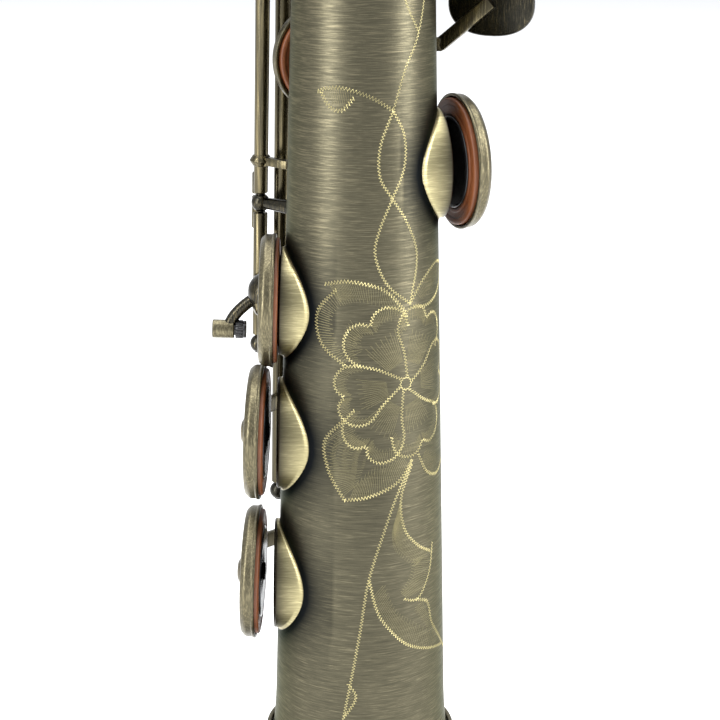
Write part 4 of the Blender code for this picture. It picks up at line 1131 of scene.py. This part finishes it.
# %% Build every key on a rod
def turned_open(hinge_point, axis, hole, degrees):
    """The turn about a hinge that lifts the cup by this angle."""
    sense = math.copysign(1, axis.cross(hole_face(hole) - hinge_point).dot(outward(hole.azimuth)))
    turn = Matrix.Rotation(math.radians(degrees) * sense, 4, axis)
    return Matrix.Translation(hinge_point) @ turn @ Matrix.Translation(-hinge_point)


def swung(solids, turn):
    for solid in solids:
        bmesh.ops.transform(solid, matrix=turn, verts=solid.verts)
    return solids


def pearl_seat(key, hole):
    """The ring that holds a touch's pearl, and the pearl."""
    base = RIM + cup_sizes(hole)[1]
    rim, place = key.pearl, hole_frame(hole)
    seat = [(0, base + 1.2), (rim - 0.7, base + 1.2), (rim - 0.7, base + 3.2), (rim, base + 3.2)]
    seat += [(rim, base - 0.6), (0, base - 0.6)]
    shell = [(0, base + 2.6), (rim * 0.5, base + 2.7), (rim - 0.75, base + 3.0)]
    shell += [(rim - 0.75, base + 1.5), (0, base + 1.5)]
    return spun(softened(seat, 0.25), 48, place), spun(softened(shell, 0.3), 48, place)


for name, key in ROD_KEYS.items():
    hole, body, node = HOLES[name], name, name + "_key"
    middle_z = (key.low + key.high) / 2
    turn = turned_open(beside(key.hinge, key.lift, middle_z), along(key.hinge), hole, key.rest)
    levers = [hinge_tube(key), arm_to_cup(key, hole)]
    cups = [cup(hole)]
    if key.pearl:
        seat, shell = pearl_seat(key, hole)
        cups.append(seat)
        piece(name + "_pearl", swung([shell], turn), body, pearl)
    else:
        levers.append(crown_boss(hole))
    if name in TOUCHES:
        levers += touch_arm(key, TOUCHES[name])
        finger = touch_plate(key, TOUCHES[name])
        # The finger plate takes the fittings' dark brass, which also paints in the shade seen under the
        # low C touch.
        piece(name + "_plate", swung([finger], turn), body, dark_brass)
    if name == "low_c_sharp":
        brass, sleeve, dark = c_sharp_foot(hole)
        cups += sleeve
        piece(name + "_foot", swung(brass, turn), body, dark_brass)
        piece(name + "_bumper", swung(dark, turn), body, ebonite)
        levers += bridge(key, key.high - 7.5, key.high + 1.0)
    piece(name + "_cup", swung(cups, turn), body, cup_brass, [node])
    piece(name + "_lever", swung(levers, turn), body, rod_brass)
    piece(name + "_leather", swung([pad(hole)], turn), body, leather, [name + "_pad"])
    piece(name + "_resonator", swung([resonator_disc(hole)], turn), body, resonator)
print("pieces so far:", len(made_pieces))

# %% Low C sharp lever
key = C_SHARP_LEVER
parts = [hinge_tube(key), touch_plate(key, TOUCHES["low_c_sharp_lever"])]
parts += touch_arm(key, TOUCHES["low_c_sharp_lever"])
parts += bridge(key, key.low + 7.0, key.low + 1.3)
collar = beside(key.hinge, key.lift, COLLAR_Z)
bead = [(0, -1.5), (2.0, -1.4), (2.9, 0), (2.0, 1.4), (0, 1.5)]
parts.append(spun(softened(bead, 0.25), 40, frame_at(collar, outward(key.hinge), along(key.hinge))))
parts.append(flat_bar(collar, collar - outward(key.hinge) * 8.6, 2.2, 2.2, along(key.hinge)))
piece("low_c_sharp_arm", parts, "low_c_sharp_lever", rod_brass, ["low_c_sharp_lever"])
print("lever made")

# %% [markdown]
# ## Palm keys, octave lever and vent
#
# These rock like a seesaw on a short rod across the tube: a plate under the palm or thumb at one
# end, a small cup at the other.

# %% Cross keys
for name, key in CROSS_KEYS.items():
    hole, place = HOLES[name], cross_frame(name)
    inverse = place.inverted()
    face = inverse @ hole_face(hole)
    crown = face.y + crown_height(hole) + 0.1
    end = inverse @ beside(hole.azimuth, key.touch_rise, key.touch_z)
    way = math.copysign(1, end.x)
    path = [(face.x - way * 1.0, crown), (face.x * 0.55, max(crown, 1.2)), (0, 0.6)]
    path += [(end.x * 0.5, end.y * 0.5 + 0.8), (end.x, end.y)]
    z_axis = place.col[2].xyz
    finger = frame_at(place @ Vector((end.x, end.y + 0.7, 0)), place.col[0].xyz, place.col[1].xyz)
    levers = [strip(path, ARM_THICKNESS, 1.7, place, 0.6)]
    reach = z_axis * CROSS_ROD_HALF
    levers.append(bar(place.translation - reach, place.translation + reach, ROD - 0.08, 32))
    levers.append(plate(oval(key.half_length, key.half_width, 48), TOUCH_THICKNESS / 2, finger, 0.7, 3))
    piece(name + "_cup", [cup(hole)], name, cup_brass, [name + "_key"])
    piece(name + "_lever", levers, name, dark_brass)
    piece(name + "_leather", [pad(hole)], name, leather, [name + "_pad"])
print("pieces so far:", len(made_pieces))

# %% [markdown]
# ## Engraving
#
# A hand engraver walks a flat graver in a zigzag, which leaves a bright toothed line, and shades
# leaves with fine straight cuts. Each cut here is a thin curve with a four-sided bevel, turned into
# a mesh and pressed flat onto the cone. The drawing is planned on the unrolled tube: the first
# number is millimetres round from the middle of the thumb side, the second is the height.

# %% The graver's strokes
TOOTH = 0.78  # from one tooth of a bold line to the next
BOLD, FINE_CUT = 0.115, 0.034  # half the width of a cut
DENSITY = 0.9  # share of the planned fine cuts that are made
strokes = {BOLD: [], FINE_CUT: []}


def on_tube(point):
    """A point of the unrolled drawing, on the cone."""
    azimuth = 270 + math.degrees(point[0] / tube_radius(point[1]))
    return beside(azimuth, 0.02, point[1])


def wriggle(points, swing=0.36):
    """A zigzag cut along a smooth path."""
    path = smooth_path(points, 8)
    lengths = [0.0]
    for a, b in zip(path, path[1:]):
        lengths.append(lengths[-1] + (b - a).length)
    count = max(2, round(lengths[-1] / (TOOTH / 2)))
    made, at = [], 0
    for i in range(count + 1):
        goal = lengths[-1] * i / count
        while at < len(path) - 2 and lengths[at + 1] < goal:
            at += 1
        span = lengths[at + 1] - lengths[at]
        spot = path[at].lerp(path[at + 1], (goal - lengths[at]) / span if span else 0)
        way = (path[at + 1] - path[at]).normalized()
        side = swing * (1 if i % 2 else -1)
        made.append(on_tube((spot.x - way.y * side, spot.y + way.x * side)))
    strokes[BOLD].append(made)


def point_on(path, share):
    """A point at this share of a polyline's points."""
    where = min(max(share, 0.0), 1.0) * (len(path) - 1)
    first = min(int(where), len(path) - 2)
    return path[first].lerp(path[first + 1], where - first)


def shade(edge, spine, count, start=0.0, end=0.6, slant=0.05):
    """Fine cuts from one path towards another, each from start to end of the way across."""
    rim, rib = smooth_path(edge, 10), smooth_path(spine, 10)
    count = round(count * DENSITY)
    for i in range(count):
        share = (i + 0.5) / count
        a, b = point_on(rim, share), point_on(rib, share + slant)
        depth = end * (1.0 if i % 2 else 0.82)
        cuts = [a.lerp(b, start + (depth - start) * k / 4) for k in range(5)]
        strokes[FINE_CUT].append([on_tube(spot) for spot in cuts])


print("tooth length, mm:", TOOTH)

# %% Stems
wriggle([(13, 262), (16, 252), (14, 242), (10, 234), (7, 225)], 0.29)
wriggle([(-11, 229), (-8, 230), (-4, 230), (2, 228), (7, 225)], 0.42)
wriggle([(7, 225), (4, 217), (4, 210), (7, 205), (11, 199), (14, 191), (12, 180)], 0.31)
wriggle([(7, 225), (10, 219), (10, 212), (7, 205), (4, 198), (3, 192), (6, 185), (12, 180)], 0.31)
wriggle([(13, 142), (9, 134), (6, 126), (2, 113), (0, 100), (-2, 88), (-4, 77), (-5, 70)], 0.34)
print("bold cuts:", len(strokes[BOLD]))

# %% Leaves
wriggle([(-10, 229), (-8, 226), (-5, 225), (-2, 228)], 0.42)
shade([(-9, 229), (-6, 230), (-2, 229)], [(-9, 228), (-5, 225), (-2, 228)], 16, 0.0, 1.0, 0.0)
wriggle([(13, 262), (9, 256), (10, 249), (14, 242)], 0.26)
shade([(13, 262), (9, 256), (10, 249), (14, 242)],
      [(16, 256), (15, 250), (14, 243)], 22, 0.0, 0.6, 0.0)
wriggle([(-9, 185), (-3, 186), (5, 184), (10, 179), (11, 177)], 0.41)
wriggle([(-6, 184), (-11, 178), (-10, 171), (-4, 166)], 0.41)
shade([(-8, 185), (-3, 186), (5, 184), (10, 179)],
      [(-4, 179), (-1, 180), (4, 179), (8, 177)], 44, 0.0, 0.8, 0.02)
shade([(-6, 184), (-11, 178), (-10, 171), (-4, 166)],
      [(-4, 180), (-6, 177), (-5, 172), (-3, 168)], 36, 0.0, 0.8, 0.02)
shade([(-3, 178), (-5, 173), (-2, 168)], [(1, 172), (1, 171), (1, 170)], 12, 0.1, 0.8, 0.0)
wriggle([(12, 180), (16, 185), (22, 188), (28, 187)], 0.36)
wriggle([(13, 179), (19, 179), (25, 182), (28, 187)], 0.36)
shade([(14, 182), (19, 187), (27, 187)], [(16, 180), (21, 182), (26, 185)], 30, 0.0, 0.9, 0.0)
wriggle([(-4, 153), (-9, 147), (-8, 140), (-4, 133)], 0.42)
wriggle([(-4, 133), (2, 134), (9, 137), (13, 142)], 0.41)
shade([(-5, 151), (-9, 146), (-8, 140), (-4, 134)],
      [(3, 146), (2, 144), (1, 141), (-1, 137)], 44, 0.0, 0.95, 0.0)
shade([(-3, 133), (2, 134), (8, 137), (12, 141)],
      [(-1, 138), (3, 142), (6, 143), (10, 144)], 34, 0.0, 0.9, 0.0)
wriggle([(15, 143), (18, 138), (23, 136), (28, 138)], 0.36)
shade([(16, 141), (19, 137), (26, 137)], [(18, 144), (22, 142), (27, 141)], 20, 0.0, 0.9, 0.0)
print("shading cuts:", len(strokes[FINE_CUT]))

# %% The long scrolled leaf
wriggle([(13, 141), (10, 133), (11, 125), (15, 120), (20, 117)], 0.34)
wriggle([(21, 119), (20, 113), (18, 109), (15, 106), (11, 107)], 0.31)
wriggle([(15, 106), (19, 104), (21, 98), (26, 92), (30, 88)], 0.36)
wriggle([(2, 113), (4, 105), (7, 100), (12, 95), (19, 92), (27, 90)], 0.34)
shade([(10, 133), (11, 125), (19, 117)], [(7, 124), (8, 119), (13, 114)], 46, 0.0, 0.85, 0.06)
shade([(20, 116), (18, 109), (12, 107)], [(12, 117), (11, 113), (9, 109)], 30, 0.0, 0.8, -0.04)
shade([(3, 109), (7, 100), (14, 94), (27, 90)],
      [(6, 114), (9, 106), (15, 101), (26, 93)], 56, 0.0, 0.85, 0.05)
shade([(17, 105), (21, 98), (28, 90)], [(12, 104), (17, 98), (25, 92)], 34, 0.0, 0.7, 0.05)
wriggle([(-3, 86), (-1, 83), (-2, 80), (-4, 77)], 0.31)
shade([(-2, 84), (-1, 82), (-3, 78)], [(-3, 83), (-3, 81), (-4, 78)], 8, 0.0, 0.9, 0.0)
print("shading cuts:", len(strokes[FINE_CUT]))

# %% The flower
FLOWER = Vector((11.0, 161.0))
EYE = 1.5
PETALS = [(122, 19.0, 8.5), (66, 18.0, 8.0), (190, 17.0, 7.5)]  # angle, length and half width
PETALS += [(236, 19.5, 8.0), (290, 17.5, 8.5), (2, 15.5, 8.0)]


def petal(angle, length, width):
    """A lobed outline, veins from the eye and a comb of short cuts inside the rim."""
    way = Vector((math.cos(math.radians(angle)), math.sin(math.radians(angle))))
    across = Vector((-way.y, way.x))

    def at(reach, side):
        return FLOWER + way * (EYE + 0.3 + reach * (length - EYE)) + across * side * width

    left = [at(0, 0.05), at(0.3, 0.45), at(0.55, 0.92), at(0.80, 0.95)]
    left += [at(0.97, 0.62), at(0.98, 0.25), at(0.88, 0.02)]
    right = [at(0.88, -0.02), at(0.98, -0.25), at(0.97, -0.62), at(0.80, -0.95), at(0.55, -0.92)]
    wriggle(left, 0.34)
    wriggle(right, 0.34)
    shade(left[2:], [at(0.4, 0.35), at(0.45, 0.2), at(0.45, 0.05)], 30, 0.06, 0.34, 0.0)
    shade(right, [at(0.45, -0.05), at(0.45, -0.2), at(0.4, -0.35)], 30, 0.06, 0.34, 0.0)
    shade([at(0.20, 0.26), at(0.20, -0.26)], [at(0.88, 0.72), at(0.88, -0.72)], 15, 0.0, 0.66, 0.0)


for angle, length, width in PETALS:
    petal(angle, length, width)
eye_turns = [math.tau * i / 12 for i in range(13)]
wriggle([FLOWER + EYE * Vector((math.cos(a), math.sin(a))) for a in eye_turns], 0.19)
print("petals:", len(PETALS))

# %% Strokes made into one thin piece
def cut_piece(name, radius, lines, look):
    curve = bpy.data.curves.new(name, "CURVE")
    curve.dimensions, curve.bevel_depth, curve.bevel_resolution = "3D", radius, 0
    curve.use_fill_caps = True
    for line in lines:
        spline = curve.splines.new("POLY")
        spline.points.add(len(line) - 1)
        for spot, point in zip(line, spline.points):
            point.co = (*spot, 1)
    drawn = bpy.data.objects.new(name, curve)
    bpy.context.scene.collection.objects.link(drawn)
    mesh = bpy.data.meshes.new_from_object(drawn.evaluated_get(bpy.context.evaluated_depsgraph_get()))
    bpy.data.objects.remove(drawn)
    bm = bmesh.new()
    bm.from_mesh(mesh)
    bpy.data.meshes.remove(mesh)
    for vert in bm.verts:
        flat = vert.co.xy
        surface = tube_radius(vert.co.z) + 0.02
        vert.co.xy = flat.normalized() * (surface + (flat.length - surface) * 0.35)
    bmesh.ops.recalc_face_normals(bm, faces=bm.faces)
    return piece(name, [bm], "body", look)


cut_piece("engraved_lines", BOLD, strokes[BOLD], cut_brass)
cut_piece("engraved_shading", FINE_CUT, strokes[FINE_CUT], faint_brass)
print("faces in the engraving:", sum(len(made.data.polygons) for made in made_pieces[-2:]))

# %% [markdown]
# ## Floor, backdrop and light
#
# The floor is pale and plain. Big soft lights stand left and right, so the round tube shows long
# soft stripes, with darker gaps between them.

# %% Floor
floor_look = Look("pale_floor", 0.0, 0.9)
floor_look.speckled(2.0, rgb(0.90, 0.90, 0.90), rgb(0.94, 0.94, 0.94))
bm = bmesh.new()
bmesh.ops.create_grid(bm, x_segments=2, y_segments=2, size=6.0)
floor_mesh = bpy.data.meshes.new("floor")
bm.to_mesh(floor_mesh)
bm.free()
floor_mesh.materials.append(floor_look.material)
floor = bpy.data.objects.new("floor", floor_mesh)
bpy.context.scene.collection.objects.link(floor)
print("floor laid")

# %% Lights
bpy.context.scene.view_settings.view_transform = "Standard"
world = bpy.data.worlds.new("studio")
bpy.context.scene.world = world
world.use_nodes = True
world.node_tree.nodes["Background"].inputs["Color"].default_value = rgb(0.95, 0.97, 1.0)
world.node_tree.nodes["Background"].inputs["Strength"].default_value = 0.9


def softbox(name, place, target, width, height, power):
    light = bpy.data.lights.new(name, "AREA")
    light.shape, light.size, light.size_y, light.energy = "RECTANGLE", width, height, power
    lamp = bpy.data.objects.new(name, light)
    lamp.location = place
    lamp.rotation_euler = (Vector(target) - Vector(place)).to_track_quat("-Z", "Y").to_euler()
    bpy.context.scene.collection.objects.link(lamp)


softbox("left_box", (-0.9, -0.7, 0.6), (0, 0, 0.2), 0.5, 1.4, 15)
softbox("right_box", (1.0, -0.35, 0.6), (0, 0, 0.2), 0.4, 1.4, 17)
softbox("top_box", (0.0, 0.4, 2.2), (0, 0, 0.0), 2.4, 2.4, 60)
print("lights set")
